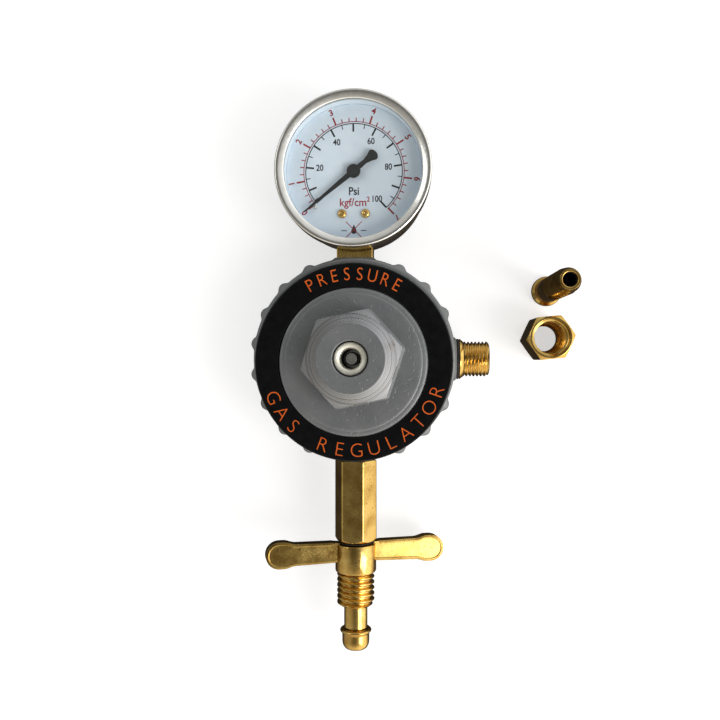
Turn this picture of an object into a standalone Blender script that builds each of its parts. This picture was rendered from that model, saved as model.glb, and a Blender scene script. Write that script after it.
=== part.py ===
"""Gas regulator with pressure gauge, lying on its back.

Origin: the centre of the body's flat back face.
+Z: the diaphragm axis, towards the bonnet and the dial.
+Y: towards the gauge.  -Y: along the inlet stem.  +X: along the outlet nipple.

Lengths are millimetres here, and the meshes are built in metres.
"""

from math import atan2, cos, degrees, hypot, radians, sin

import bmesh
import bpy
from mathutils import Matrix, Vector

MM = 0.001
GAP = 0.3                     # clearance between pieces that touch
FINE, ROUND, SMALL, TINY = 40, 24, 16, 10     # sides of a round piece, by its size

# ---- driving dimensions -------------------------------------------------------

PORT_Z = 17.0                 # height of the inlet, outlet and gauge axes

BODY_FOOT_R = 22.0            # flat back face
BODY_WAIST_R = 30.0
RIM_R = 37.4
RIM_LOW_Z = 20.0
RIM_TOP_Z = 28.0
LOBE_COUNT = 20
LOBE_R = 2.6                  # each grip lobe is a half-round bump
LOBE_TIP_R = 38.9
LOBE_TOP_Z = 27.2
CHAMBER_R = 24.0
CHAMBER_FLOOR_Z = 7.0
SEAT_R = 31.4                 # recess for the diaphragm and the bonnet
SEAT_Z = 22.0
GAUGE_BOSS_Y = 37.6
GAUGE_BOSS_SHOULDER_Y = 35.8
GAUGE_BOSS_WIDE = 18.0
GAUGE_BOSS_NARROW = 14.4
OUTLET_BOSS_R = 8.3
OUTLET_BOSS_X = 37.9
INLET_BOSS_R = 9.0
INLET_BOSS_Y = 37.6
PORT_BORE_START = 32.2        # the threaded port bores start outside the diaphragm recess
INLET_PORT_R = 6.0
OUTLET_PORT_R = 5.6
GAUGE_PORT_R = 5.2

DIAPHRAGM_R = 31.0
DIAPHRAGM_T = 1.2
SLIP_RING_T = 0.8
SPRING_PLATE_T = 1.5
STEM_R = 2.3                  # diaphragm stem, seen through the adjusting screw
STEM_TOP_Z = 38.5

DISC_R = 26.9                 # raised front disc of the bonnet, concentric with the name ring
DISC_Z = 31.5
HEX_FLAT_R = 16.0             # half the width across flats of the bonnet's hexagon
HEX_TURN = 12.0               # degrees from +X to the first corner
HEX_TOP_Z = 45.0
HEX_FACE_R = 12.0
SPRING_BORE_R = 11.5
SPRING_BORE_TOP_Z = 40.0
SCREW_BORE_R = 6.25

SCREW_R = 5.9
SCREW_TOP_Z = 43.5
SCREW_HOLE_R = 3.6
SPRING_MEAN_R = 9.0
SPRING_WIRE_R = 0.9
SPRING_TURNS = 3.5
BUTTON_FLOOR_Z = 32.0         # spring button: a cup that carries the screw
BUTTON_FLANGE_Z = 36.0
BUTTON_TOP_Z = 37.4
BUTTON_WALL = 0.8

RING_OUTER_R = 36.2           # name ring, mounted off centre
RING_INNER_R = 27.5
RING_T = 2.0
RING_CENTRE = (0.0, -1.2, 0.0)

STEM_HEX_FLAT_R = 7.0         # inlet stem: distances along -Y from the origin
STEM_HEX_TURN = 6.0
STEM_WASHER_T = 0.8
STEM_HEX_END = 69.0
NECK_R = 4.45
NECK_END = 101.8
NOSE_START = 102.1
NOSE_END = 110.0
NUT_HUB_R = 7.8
NUT_START = 69.9
NUT_HUB_END = 81.2
NUT_THREAD_R = 14.29 / 2      # 9/16 inch, 12 turns to the inch
NUT_THREAD_PITCH = 25.4 / 12
NUT_END = 93.4
NUT_BORE_R = 4.75
WING_ALONG = 73.0
WING_TIP_R = 34.3
WING_DISC_R = 5.0
WING_HALF_H = 4.1
WING_HALF_T = 2.4
WING_REST_TURN = 16.0         # the wing on the -X side is raised

OUTLET_COLLAR_END = 40.6      # outlet nipple: distances along +X
OUTLET_END = 50.0
OUTLET_THREAD_R = 13.157 / 2  # G 1/4
OUTLET_THREAD_PITCH = 25.4 / 19
OUTLET_THREADED_END = 49.2
OUTLET_BORE_R = 3.2

GAUGE_Y = 68.75
CASE_R = 27.0
CASE_BACK_Z = 7.0
CASE_WALL = 1.2
CASE_RIM_Z = 30.1
BEZEL_R = 28.5
BEZEL_LOW_Z = 26.0
BEZEL_FRONT_Z = 34.0
BEZEL_INNER_R = 25.15
WINDOW_R = 27.0
DIAL_R = 25.0
DIAL_Z = 26.5
DIAL_T = 0.5
POINTER_Z = 28.3
POINTER_TIP_R = 23.7
POINTER_TAIL_R = 10.7
POINTER_HUB_R = 2.6
POINTER_REST = 219.0
STOP_PIN_R = 19.2
STOP_PIN_ANGLE = 222.7
DIAL_SCREW_X = 4.3
DIAL_SCREW_Y = -15.4
SOCKET_HALF = 6.7

SECTOR_R = 12.0               # pitch radii: eight to one
PINION_R = 1.5
SECTOR_ANGLE = -35.0          # the sector's shaft, seen from the pointer's
SECTOR_SWEEP = 33.0
TAIL_R = 6.0
TAIL_ANGLE = -55.0
TUBE_R = 19.5
TUBE_START = -118.0
TUBE_END = 0.0                # reached clockwise, over the top of the gauge
TIP_ANGLE = -10.0             # the link's pin on the tube's end piece
MOVEMENT_LOW_Z = 10.5
MOVEMENT_HIGH_Z = 22.5
PLATE_T = 1.2

LEVER_Y = -10.0               # the valve lever's pivot
LEVER_Z = 10.5

UNION_NUT_X = 73.2            # loose union nut, standing mouth up
UNION_NUT_Y = 8.0
UNION_NUT_FLAT_R = 8.0
UNION_NUT_TURN = 5.5
UNION_NUT_H = 18.6
TAIL_X = 74.3                 # loose hose nipple, standing on its flange
TAIL_Y = 26.7
TAIL_H = 46.5

ALONG_INLET = (radians(90), 0.0, 0.0)      # local +Z becomes -Y
ALONG_OUTLET = (0.0, radians(90), 0.0)     # local +Z becomes +X
ALONG_GAUGE = (radians(-90), 0.0, 0.0)     # local +Z becomes +Y
PORT = (0.0, 0.0, PORT_Z)
GAUGE = (0.0, GAUGE_Y, 0.0)

# ---- materials ------------------------------------------------------------------

FINISHES = {                  # base colour, metallic, roughness
    "cast_grey": ((0.22, 0.22, 0.215), 0.55, 0.45),
    "brass": ((0.72, 0.48, 0.16), 1.0, 0.22),
    "plated_steel": ((0.66, 0.64, 0.58), 1.0, 0.25),
    "spring_steel": ((0.45, 0.45, 0.47), 1.0, 0.3),
    "ring_black": ((0.006, 0.006, 0.007), 0.0, 0.12),
    "case_black": ((0.03, 0.026, 0.024), 0.1, 0.35),
    "bezel_nickel": ((0.72, 0.68, 0.6), 1.0, 0.2),
    "dial_white": ((0.72, 0.8, 0.86), 0.0, 0.5),
    "pointer_black": ((0.015, 0.015, 0.013), 0.0, 0.4),
    "window_clear": ((0.95, 0.97, 0.97), 0.0, 0.05),
    "rubber": ((0.02, 0.02, 0.02), 0.0, 0.7),
}


def finish(name):
    """The named material, made once."""
    if name in bpy.data.materials:
        return bpy.data.materials[name]
    colour, metallic, roughness = FINISHES[name]
    material = bpy.data.materials.new(name)
    material.use_nodes = True
    shader = material.node_tree.nodes["Principled BSDF"]
    shader.inputs["Base Color"].default_value = (*colour, 1.0)
    shader.inputs["Metallic"].default_value = metallic
    shader.inputs["Roughness"].default_value = roughness
    if name == "window_clear":
        shader.inputs["Transmission Weight"].default_value = 1.0
    return material


# ---- shape tools ----------------------------------------------------------------

def polar(radius, angle, centre=(0.0, 0.0)):
    """A point at a radius and an angle in degrees from a centre."""
    turn = radians(angle)
    return (centre[0] + radius * cos(turn), centre[1] + radius * sin(turn))


def arc(radius, start, end, count, centre=(0.0, 0.0)):
    """Points along an arc, both ends included."""
    step = (end - start) / (count - 1)
    return [polar(radius, start + step * i, centre) for i in range(count)]


def hexagon(flat_radius, turn=0.0):
    """Six corners of a hexagon with the given half width across flats."""
    corner = flat_radius / cos(radians(30))
    return [polar(corner, turn + 60.0 * i) for i in range(6)]


def rectangle(x0, x1, y0, y1):
    return [(x0, y0), (x1, y0), (x1, y1), (x0, y1)]


def solid(name, bm, material, place=(0.0, 0.0, 0.0), turn=(0.0, 0.0, 0.0)):
    """Turn a bmesh in millimetres into an object in metres."""
    bmesh.ops.recalc_face_normals(bm, faces=bm.faces)
    bmesh.ops.scale(bm, vec=(MM, MM, MM), verts=bm.verts)
    mesh = bpy.data.meshes.new(name)
    bm.to_mesh(mesh)
    bm.free()
    mesh.shade_smooth()
    mesh.set_sharp_from_angle(angle=radians(35))
    item = bpy.data.objects.new(name, mesh)
    item.location = Vector(place) * MM
    item.rotation_euler = turn
    bpy.context.scene.collection.objects.link(item)
    if material:
        mesh.materials.append(finish(material))
    return item


def turned(outline, segments=ROUND):
    """Revolve a closed outline of (radius, height) points about Z."""
    bm = bmesh.new()
    rings = []
    for radius, height in outline:
        if radius == 0.0:
            rings.append([bm.verts.new((0.0, 0.0, height))])
            continue
        spots = [polar(radius, 360.0 * i / segments) for i in range(segments)]
        rings.append([bm.verts.new((x, y, height)) for x, y in spots])
    for ring, following in zip(rings, rings[1:] + rings[:1]):
        if len(ring) == 1 and len(following) == 1:
            continue
        for i in range(segments):
            j = (i + 1) % segments
            corners = [ring[i % len(ring)], ring[j % len(ring)]]
            corners += [following[j % len(following)], following[i % len(following)]]
            bm.faces.new(list(dict.fromkeys(corners)))
    return bm


def prism(outline, low, high):
    """Extrude a closed (x, y) outline from one height to another."""
    bm = bmesh.new()
    bottom = [bm.verts.new((x, y, low)) for x, y in outline]
    top = [bm.verts.new((x, y, high)) for x, y in outline]
    bm.faces.new(bottom)
    bm.faces.new(top)
    for i in range(len(outline)):
        j = (i + 1) % len(outline)
        bm.faces.new((bottom[i], bottom[j], top[j], top[i]))
    return bm


def block(x0, x1, y0, y1, z0, z1):
    return prism(rectangle(x0, x1, y0, y1), z0, z1)


def swept(path, section):
    """Carry a closed (sideways, upwards) section along a path of 3-D points."""
    bm = bmesh.new()
    points = [Vector(p) for p in path]
    rings = []
    for i, point in enumerate(points):
        ahead = points[min(i + 1, len(points) - 1)] - points[max(i - 1, 0)]
        along = ahead.normalized()
        side = along.cross(Vector((0.0, 0.0, 1.0))).normalized()
        up = side.cross(along)
        rings.append([bm.verts.new(point + side * a + up * b) for a, b in section])
    count = len(section)
    for ring, following in zip(rings, rings[1:]):
        for i in range(count):
            j = (i + 1) % count
            bm.faces.new((ring[i], ring[j], following[j], following[i]))
    bm.faces.new(rings[0])
    bm.faces.new(rings[-1])
    return bm


def combine(target, operation, bm, place=(0.0, 0.0, 0.0), turn=(0.0, 0.0, 0.0)):
    """Add a Boolean modifier whose helper object stays hidden from renders."""
    helper = solid(f"helper_{target.name}_{len(target.modifiers)}", bm, None, place, turn)
    helper.hide_render = True
    helper.display_type = "WIRE"
    modifier = target.modifiers.new(operation.lower(), "BOOLEAN")
    modifier.operation = operation
    modifier.solver = "EXACT"
    modifier.object = helper


def add(target, bm, place=(0.0, 0.0, 0.0), turn=(0.0, 0.0, 0.0)):
    combine(target, "UNION", bm, place, turn)


def cut(target, bm, place=(0.0, 0.0, 0.0), turn=(0.0, 0.0, 0.0)):
    combine(target, "DIFFERENCE", bm, place, turn)


def rod(radius, low, high, segments=SMALL):
    return turned([(0.0, low), (radius, low), (radius, high), (0.0, high)], segments)


def tube(outer, inner, low, high, segments=ROUND):
    return turned([(inner, low), (outer, low), (outer, high), (inner, high)], segments)


def grooves(radius, depth, pitch, start, end):
    """Outer outline of a run of plain V grooves that stands for a thread."""
    count = int((end - start) / pitch)
    points = []
    for i in range(count):
        low = start + i * pitch
        points.append((radius, low))
        points.append((radius - depth, low + 0.5 * pitch))
    return points


# ---- body -----------------------------------------------------------------------

def lobe_angles():
    """Every 18 degrees, but none where a boss leaves the rim."""
    pitch = 360.0 / LOBE_COUNT
    angles = [pitch / 2 + pitch * i for i in range(LOBE_COUNT)]
    bosses = (0.0, 90.0, 270.0)
    return [a for a in angles if all(abs((a - b + 180) % 360 - 180) > pitch for b in bosses)]


def rim_outline():
    """The rim's circle with its half-round lobes."""
    points = []
    centre_r = LOBE_TIP_R - LOBE_R
    lobe_half_angle = 4.6
    for angle in range(0, 360, 6):
        near = min(abs((angle - a + 180) % 360 - 180) for a in lobe_angles())
        if near > lobe_half_angle:
            points.append((angle, polar(RIM_R, angle)))
    for angle in lobe_angles():
        centre = polar(centre_r, angle)
        for x, y in arc(LOBE_R, angle - 62, angle + 62, 5, centre):
            points.append((degrees(atan2(y, x)) % 360, (x, y)))
    return [spot for _, spot in sorted(points)]


def body_casting():
    neck_r = RIM_R - 0.4
    outline = [(0.0, 0.0), (BODY_FOOT_R - 1.0, 0.0), (BODY_FOOT_R, 1.0), (BODY_WAIST_R, 13.0),
               (RIM_R - 1.5, RIM_LOW_Z), (neck_r, RIM_LOW_Z + 2.0), (neck_r, RIM_TOP_Z - 0.5),
               (neck_r - 0.5, RIM_TOP_Z), (0.0, RIM_TOP_Z)]
    body = solid("body_casting", turned(outline, FINE), "cast_grey")
    add(body, prism(rim_outline(), RIM_LOW_Z + 0.6, LOBE_TOP_Z))
    wide = GAUGE_BOSS_WIDE / 2
    narrow = GAUGE_BOSS_NARROW / 2
    boss = [(-wide - 2, 26.0), (wide + 2, 26.0), (wide, GAUGE_BOSS_SHOULDER_Y), (narrow, GAUGE_BOSS_Y),
            (-narrow, GAUGE_BOSS_Y), (-wide, GAUGE_BOSS_SHOULDER_Y)]
    add(body, prism(boss, PORT_Z - 8.0, PORT_Z + 9.0))
    add(body, rod(OUTLET_BOSS_R, 26.0, OUTLET_BOSS_X, ROUND), PORT, ALONG_OUTLET)
    add(body, rod(INLET_BOSS_R, 26.0, INLET_BOSS_Y, ROUND), PORT, ALONG_INLET)
    recess = [(0.0, CHAMBER_FLOOR_Z), (CHAMBER_R - 3, CHAMBER_FLOOR_Z), (CHAMBER_R, CHAMBER_FLOOR_Z + 3),
              (CHAMBER_R, SEAT_Z), (SEAT_R, SEAT_Z), (SEAT_R, RIM_TOP_Z + 5), (0.0, RIM_TOP_Z + 5)]
    cut(body, turned(recess, FINE))
    nozzle_bore = [(0.0, 20.0), (4.2, 20.0), (4.2, PORT_BORE_START), (INLET_PORT_R, PORT_BORE_START),
                   (INLET_PORT_R, INLET_BOSS_Y + 5), (0.0, INLET_BOSS_Y + 5)]
    cut(body, turned(nozzle_bore, SMALL), PORT, ALONG_INLET)
    outlet_bore = [(0.0, 20.0), (OUTLET_BORE_R, 20.0), (OUTLET_BORE_R, PORT_BORE_START),
                   (OUTLET_PORT_R, PORT_BORE_START), (OUTLET_PORT_R, OUTLET_BOSS_X + 5), (0.0, OUTLET_BOSS_X + 5)]
    cut(body, turned(outlet_bore, SMALL), PORT, ALONG_OUTLET)
    gauge_bore = [(0.0, 20.0), (2.0, 20.0), (2.0, PORT_BORE_START),
                  (GAUGE_PORT_R, PORT_BORE_START), (GAUGE_PORT_R, GAUGE_BOSS_Y + 5), (0.0, GAUGE_BOSS_Y + 5)]
    cut(body, turned(gauge_bore, SMALL), PORT, ALONG_GAUGE)


def bonnet():
    """Screwed-in cover with its hexagonal boss, open below for the diaphragm and spring."""
    low = SEAT_Z + GAP + DIAPHRAGM_T + GAP + SLIP_RING_T + GAP
    flange = [(CHAMBER_R, low), (DIAPHRAGM_R, low), (DIAPHRAGM_R, RIM_TOP_Z), (SPRING_BORE_R - 1.0, RIM_TOP_Z),
              (SPRING_BORE_R - 1.0, RIM_TOP_Z - 0.4), (CHAMBER_R, RIM_TOP_Z - 0.4)]
    cover = solid("bonnet", turned(flange, FINE), "cast_grey")
    disc = [(SPRING_BORE_R - 3.0, RIM_TOP_Z - 0.2), (DISC_R + 0.4, RIM_TOP_Z - 0.2), (DISC_R + 0.4, DISC_Z - 1.6),
            (DISC_R, DISC_Z - 1.2), (DISC_R, DISC_Z - 0.6), (DISC_R - 0.6, DISC_Z), (SPRING_BORE_R - 3.0, DISC_Z)]
    add(cover, turned(disc, FINE), RING_CENTRE)
    boss = prism(hexagon(HEX_FLAT_R, HEX_TURN), DISC_Z - 2.0, HEX_TOP_Z)
    add(cover, boss)
    corner = HEX_FLAT_R / cos(radians(30)) + 0.6
    cone = [(HEX_FACE_R, HEX_TOP_Z), (14.3, HEX_TOP_Z - 2.2), (14.6, HEX_TOP_Z - 2.6),
            (HEX_FLAT_R, HEX_TOP_Z - 4.0), (HEX_FLAT_R + 0.3, HEX_TOP_Z - 4.4), (corner, HEX_TOP_Z - 6.2),
            (corner + 4, HEX_TOP_Z - 6.2), (corner + 4, HEX_TOP_Z + 2), (HEX_FACE_R, HEX_TOP_Z + 2)]
    cut(cover, turned(cone, FINE))
    bore = [(0.0, 20.0), (SPRING_BORE_R, 20.0), (SPRING_BORE_R, SPRING_BORE_TOP_Z),
            (SCREW_BORE_R, SPRING_BORE_TOP_Z), (SCREW_BORE_R, HEX_TOP_Z + 4), (0.0, HEX_TOP_Z + 4)]
    cut(cover, turned(bore, ROUND))


def name_ring():
    low = RIM_TOP_Z + GAP
    high = low + RING_T
    outline = [(RING_INNER_R, low), (RING_OUTER_R - 0.2, low), (RING_OUTER_R, low + 0.3),
               (RING_OUTER_R, high - 1.1), (RING_OUTER_R - 0.5, high - 0.3), (RING_OUTER_R - 1.3, high),
               (RING_INNER_R + 0.3, high), (RING_INNER_R, high - 0.3)]
    solid("name_ring", turned(outline, FINE), "ring_black", RING_CENTRE)


# ---- diaphragm, spring and adjusting screw -----------------------------------------

def spring_plate_top():
    """Height of the spring's lower seat, on top of the diaphragm."""
    return SEAT_Z + GAP + DIAPHRAGM_T + GAP + SPRING_PLATE_T


def diaphragm_group():
    low = SEAT_Z + GAP
    high = low + DIAPHRAGM_T
    solid("diaphragm", tube(DIAPHRAGM_R, STEM_R + GAP, low, high, FINE), "rubber")
    slip = high + GAP
    solid("diaphragm_slip_ring", tube(DIAPHRAGM_R, CHAMBER_R + 0.6, slip, slip + SLIP_RING_T, FINE), "plated_steel")
    plate_z = low - GAP
    outline = [(0.0, 12.0), (STEM_R, 12.0), (STEM_R, plate_z - 1.5), (15.0, plate_z - 1.5),
               (15.0, plate_z), (STEM_R, plate_z), (STEM_R, STEM_TOP_Z - 0.3),
               (STEM_R - 0.3, STEM_TOP_Z), (0.0, STEM_TOP_Z)]
    stem = solid("diaphragm_stem", turned(outline, SMALL), "plated_steel")
    add(stem, block(-3.4, 3.4, -2.5, 2.5, 7.6, 14.0))
    cut(stem, block(-2.4, 2.4, -4.0, 4.0, 8.5, 12.6))
    plate_top = spring_plate_top()
    solid("spring_plate", tube(17.0, STEM_R + GAP, high + GAP, plate_top), "plated_steel")
    nut_low = plate_top + GAP
    nut = solid("diaphragm_nut", prism(hexagon(4.5), nut_low, nut_low + 2.5), "plated_steel")
    cut(nut, rod(STEM_R + GAP, nut_low - 2, nut_low + 5, SMALL))


def main_spring():
    low = spring_plate_top() + GAP + SPRING_WIRE_R + 0.1
    high = BUTTON_FLANGE_Z - GAP - SPRING_WIRE_R - 0.1
    steps = int(SPRING_TURNS * 16)
    path = []
    for i in range(steps + 1):
        x, y = polar(SPRING_MEAN_R, 360.0 * SPRING_TURNS * i / steps)
        path.append((x, y, low + (high - low) * i / steps))
    solid("main_spring", swept(path, arc(SPRING_WIRE_R, 0, 300, 6)), "spring_steel")


def adjuster():
    inside_r = 6.3
    outside_r = inside_r + BUTTON_WALL + 0.1
    cup_floor = BUTTON_FLOOR_Z + BUTTON_WALL
    button = [(SCREW_HOLE_R, BUTTON_FLOOR_Z), (outside_r, BUTTON_FLOOR_Z), (outside_r, BUTTON_FLANGE_Z),
              (10.5, BUTTON_FLANGE_Z), (10.5, BUTTON_TOP_Z), (inside_r, BUTTON_TOP_Z), (inside_r, cup_floor),
              (SCREW_HOLE_R, cup_floor)]
    solid("spring_button", turned(button, ROUND), "plated_steel")
    low = cup_floor + GAP
    screw = [(SCREW_HOLE_R, low), (SCREW_R - 0.8, low), (SCREW_R, low + 0.8)]
    screw += [(SCREW_R, SCREW_TOP_Z - 0.4), (SCREW_R - 0.4, SCREW_TOP_Z), (5.2, SCREW_TOP_Z),
              (4.2, SCREW_TOP_Z - 1.4), (SCREW_HOLE_R, SCREW_TOP_Z - 2.0)]
    solid("adjusting_screw", turned(screw, ROUND), "plated_steel")


# ---- inlet valve --------------------------------------------------------------------

def inlet_valve():
    nozzle = [(1.2, 16.6), (2.2, 16.6), (3.0, 17.4), (3.0, 20.3), (4.5, 20.3), (4.5, 23.0),
              (3.9, 23.4), (3.9, 29.5), (1.2, 29.5)]
    solid("inlet_nozzle", turned(nozzle, SMALL), "brass", PORT, ALONG_INLET)
    holder = [(0.0, 6.5), (3.2, 6.5), (3.2, 15.0), (2.6, 15.0), (2.6, 13.2), (0.0, 13.2)]
    seat = solid("seat_holder", turned(holder, SMALL), "brass", PORT, ALONG_INLET)
    cut(seat, block(-2.5, 2.5, -11.6, -8.4, PORT_Z - 5.0, PORT_Z + 2.0))
    solid("seat_disc", rod(2.3, 13.5, 15.3, SMALL), "rubber", PORT, ALONG_INLET)
    bracket = solid("lever_bracket", block(-5.2, 5.2, -20.0, -6.8, 8.5, 20.0), "brass")
    cut(bracket, block(-4.0, 4.0, -18.5, -4.0, 6.0, 24.0))
    cut(bracket, rod(3.3, 16.0, 24.0, SMALL), PORT, ALONG_INLET)
    pivot = (0.0, LEVER_Y, LEVER_Z)
    cut(bracket, rod(1.3, -9.0, 9.0, TINY), pivot, ALONG_OUTLET)
    solid("lever_pin", rod(1.0, -5.9, 5.9, TINY), "spring_steel", pivot, ALONG_OUTLET)
    side = [(-2.0, -1.9), (11.5, -1.0), (11.5, 1.0), (1.9, 1.0), (1.0, 1.9), (1.0, 8.0),
            (-1.0, 8.0), (-1.0, 2.2), (-2.2, 1.0)]
    lever = solid("valve_lever", prism(side, -2.0, 2.0), "plated_steel", pivot,
                  (radians(90), 0.0, radians(90)))
    cut(lever, rod(1.2, -6.0, 6.0, TINY), pivot, ALONG_OUTLET)


def inlet_stem():
    start = PORT_BORE_START + GAP
    spigot = [(0.0, start), (5.3, start), (5.7, start + 0.4), (5.7, INLET_BOSS_Y + 3), (0.0, INLET_BOSS_Y + 3)]
    hex_low = INLET_BOSS_Y + GAP + STEM_WASHER_T + GAP
    stem = solid("inlet_stem", prism(hexagon(STEM_HEX_FLAT_R, STEM_HEX_TURN), hex_low, STEM_HEX_END),
                 "brass", PORT, ALONG_INLET)
    corner = STEM_HEX_FLAT_R / cos(radians(30)) + 0.1
    bevel = [(STEM_HEX_FLAT_R - 0.4, STEM_HEX_END + 1), (STEM_HEX_FLAT_R - 0.4, STEM_HEX_END),
             (corner, STEM_HEX_END - 1.0), (corner + 3, STEM_HEX_END - 1.0), (corner + 3, STEM_HEX_END + 1)]
    cut(stem, turned(bevel, ROUND), PORT, ALONG_INLET)
    add(stem, turned(spigot, SMALL), PORT, ALONG_INLET)
    neck = [(0.0, STEM_HEX_END - 2), (NECK_R, STEM_HEX_END - 2), (NECK_R, NECK_END), (3.0, NECK_END),
            (3.0, NECK_END + 4), (0.0, NECK_END + 4)]
    add(stem, turned(neck, SMALL), PORT, ALONG_INLET)
    bore = [(0.0, 28.0), (4.0, 28.0), (4.0, start + 4.8), (2.0, start + 4.8), (2.0, NECK_END + 8), (0.0, NECK_END + 8)]
    cut(stem, turned(bore, SMALL), PORT, ALONG_INLET)
    strainer = [(0.0, start + 0.2), (3.7, start + 0.2), (3.7, start + 4.5), (2.7, start + 4.5),
                (2.7, start + 1.2), (0.0, start + 1.2)]
    solid("inlet_filter", turned(strainer, SMALL), "plated_steel", PORT, ALONG_INLET)
    washer = INLET_BOSS_Y + GAP
    solid("stem_washer", tube(7.4, 6.0, washer, washer + STEM_WASHER_T, SMALL),
          "rubber", PORT, ALONG_INLET)
    solid("thrust_washer", tube(6.6, NUT_BORE_R, STEM_HEX_END + GAP, NUT_START - GAP, SMALL),
          "rubber", PORT, ALONG_INLET)
    nose = [(1.8, NOSE_END), (1.8, NECK_END + 4.5), (3.3, NECK_END + 4.5), (3.3, NOSE_START),
            (5.2, NOSE_START), (6.02, NOSE_START + 0.4), (6.02, NOSE_START + 1.1), (5.3, NOSE_START + 1.6),
            (5.18, NOSE_START + 2.0), (5.18, 106.8), (4.9, 108.3), (4.3, 109.3), (3.5, NOSE_END)]
    solid("inlet_nose", turned(nose, SMALL), "brass", PORT, ALONG_INLET)


def wing_outline():
    """One wing of the hand nut: a straight blade that ends in a round paddle."""
    centre_r = WING_TIP_R - WING_DISC_R
    half_angle = 180 - 55
    paddle = arc(WING_DISC_R, -half_angle, half_angle, 13, (centre_r, 0.0))
    root = [(8.8, WING_HALF_H), (8.8, WING_ALONG - NUT_START - 0.4), (6.0, WING_ALONG - NUT_START - 0.4)]
    return [(6.0, -WING_HALF_H)] + paddle + root


def hand_nut():
    body = [(NUT_BORE_R, NUT_START), (NUT_HUB_R - 0.6, NUT_START), (NUT_HUB_R, NUT_START + 0.6),
            (NUT_HUB_R, NUT_HUB_END - 1.0), (NUT_THREAD_R - 0.8, NUT_HUB_END)]
    body += grooves(NUT_THREAD_R, 1.1, NUT_THREAD_PITCH, NUT_HUB_END + 0.2, NUT_END - 1.0)
    body += [(NUT_THREAD_R - 0.4, NUT_END - 1.2), (5.6, NUT_END), (NUT_BORE_R, NUT_END)]
    nut = solid("hand_nut", turned(body, ROUND), "brass", PORT, ALONG_INLET)
    for side in (0.0, 180.0):
        spin = Matrix.Rotation(radians(WING_REST_TURN + side), 4, "Y")
        blade = prism(wing_outline(), -WING_HALF_T, WING_HALF_T)
        bmesh.ops.transform(blade, matrix=spin, verts=blade.verts)
        add(nut, blade, (0.0, -WING_ALONG, PORT_Z))


# ---- outlet -------------------------------------------------------------------------

def outlet():
    washer = OUTLET_BOSS_X + 0.1
    collar = washer + 0.9
    solid("outlet_washer", tube(7.6, 5.6, OUTLET_BOSS_X + 0.15, collar - 0.15, SMALL),
          "rubber", PORT, ALONG_OUTLET)
    start = PORT_BORE_START + GAP
    nipple = [(OUTLET_BORE_R, start), (5.3, start), (5.3, collar), (6.9, collar), (6.9, OUTLET_COLLAR_END - 0.3),
              (OUTLET_THREAD_R - 0.6, OUTLET_COLLAR_END)]
    nipple += grooves(OUTLET_THREAD_R, 0.8, OUTLET_THREAD_PITCH, OUTLET_COLLAR_END + 0.1, OUTLET_THREADED_END)
    nipple += [(OUTLET_THREAD_R - 0.9, OUTLET_END), (4.4, OUTLET_END), (OUTLET_BORE_R, OUTLET_END - 1.2)]
    solid("outlet_nipple", turned(nipple, ROUND), "brass", PORT, ALONG_OUTLET)


# ---- gauge shell ----------------------------------------------------------------------

def gauge_socket():
    """Brass block that carries the gauge: spigot, wrench square and inner block."""
    half = SOCKET_HALF
    start = GAUGE_BOSS_Y + 0.4
    socket = solid("gauge_socket", block(-half, half, start, 45.0, PORT_Z - half, PORT_Z + half), "brass")
    add(socket, block(-6.4, 6.4, 44.3, 55.0, 9.5, 26.2))
    add(socket, rod(4.9, PORT_BORE_START + GAP, 41.0, SMALL), PORT, ALONG_GAUGE)
    cut(socket, turned([(0.0, 25.0), (1.5, 25.0), (1.5, 48.0), (0.0, 48.0)], TINY), PORT, ALONG_GAUGE)
    for side in (-1, 1):
        spot = (side * DIAL_SCREW_X, GAUGE_Y + DIAL_SCREW_Y, 0.0)
        cut(socket, rod(1.0, 22.0, 30.0, TINY), spot)


def gauge_shell():
    inner = CASE_R - CASE_WALL
    floor = CASE_BACK_Z + CASE_WALL
    outline = [(0.0, CASE_BACK_Z), (CASE_R - 1.5, CASE_BACK_Z), (CASE_R, CASE_BACK_Z + 1.5),
               (CASE_R, CASE_RIM_Z), (inner, CASE_RIM_Z), (inner, floor), (0.0, floor)]
    case = solid("gauge_case", turned(outline, FINE), "case_black", GAUGE)
    half = SOCKET_HALF + GAP
    cut(case, block(-half, half, 36.0, 46.0, PORT_Z - half, PORT_Z + half))
    vent = (0.0, GAUGE_Y + 14.0, 0.0)
    cut(case, rod(4.0, 4.0, 12.0, SMALL), vent)
    plug = [(0.0, CASE_BACK_Z - 0.8), (5.0, CASE_BACK_Z - 0.8), (5.0, CASE_BACK_Z - GAP),
            (3.7, CASE_BACK_Z - GAP), (3.7, floor + 0.6), (0.0, floor + 0.6)]
    solid("blow_out_plug", turned(plug, SMALL), "rubber", vent)
    skirt = CASE_R + 0.6
    bezel = [(skirt, BEZEL_LOW_Z), (BEZEL_R, BEZEL_LOW_Z), (BEZEL_R, BEZEL_FRONT_Z - 0.8),
             (BEZEL_R - 0.6, BEZEL_FRONT_Z), (BEZEL_R - 1.2, BEZEL_FRONT_Z), (BEZEL_R - 1.5, BEZEL_FRONT_Z - 0.3),
             (BEZEL_INNER_R, 33.1), (BEZEL_INNER_R, 32.7), (skirt, 32.7)]
    solid("gauge_bezel", turned(bezel, FINE), "bezel_nickel", GAUGE)
    solid("window_gasket", tube(CASE_R, inner, CASE_RIM_Z + GAP, CASE_RIM_Z + 0.8, ROUND), "rubber", GAUGE)
    solid("gauge_window", rod(WINDOW_R, 31.2, 32.4, FINE), "window_clear", GAUGE)


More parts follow.
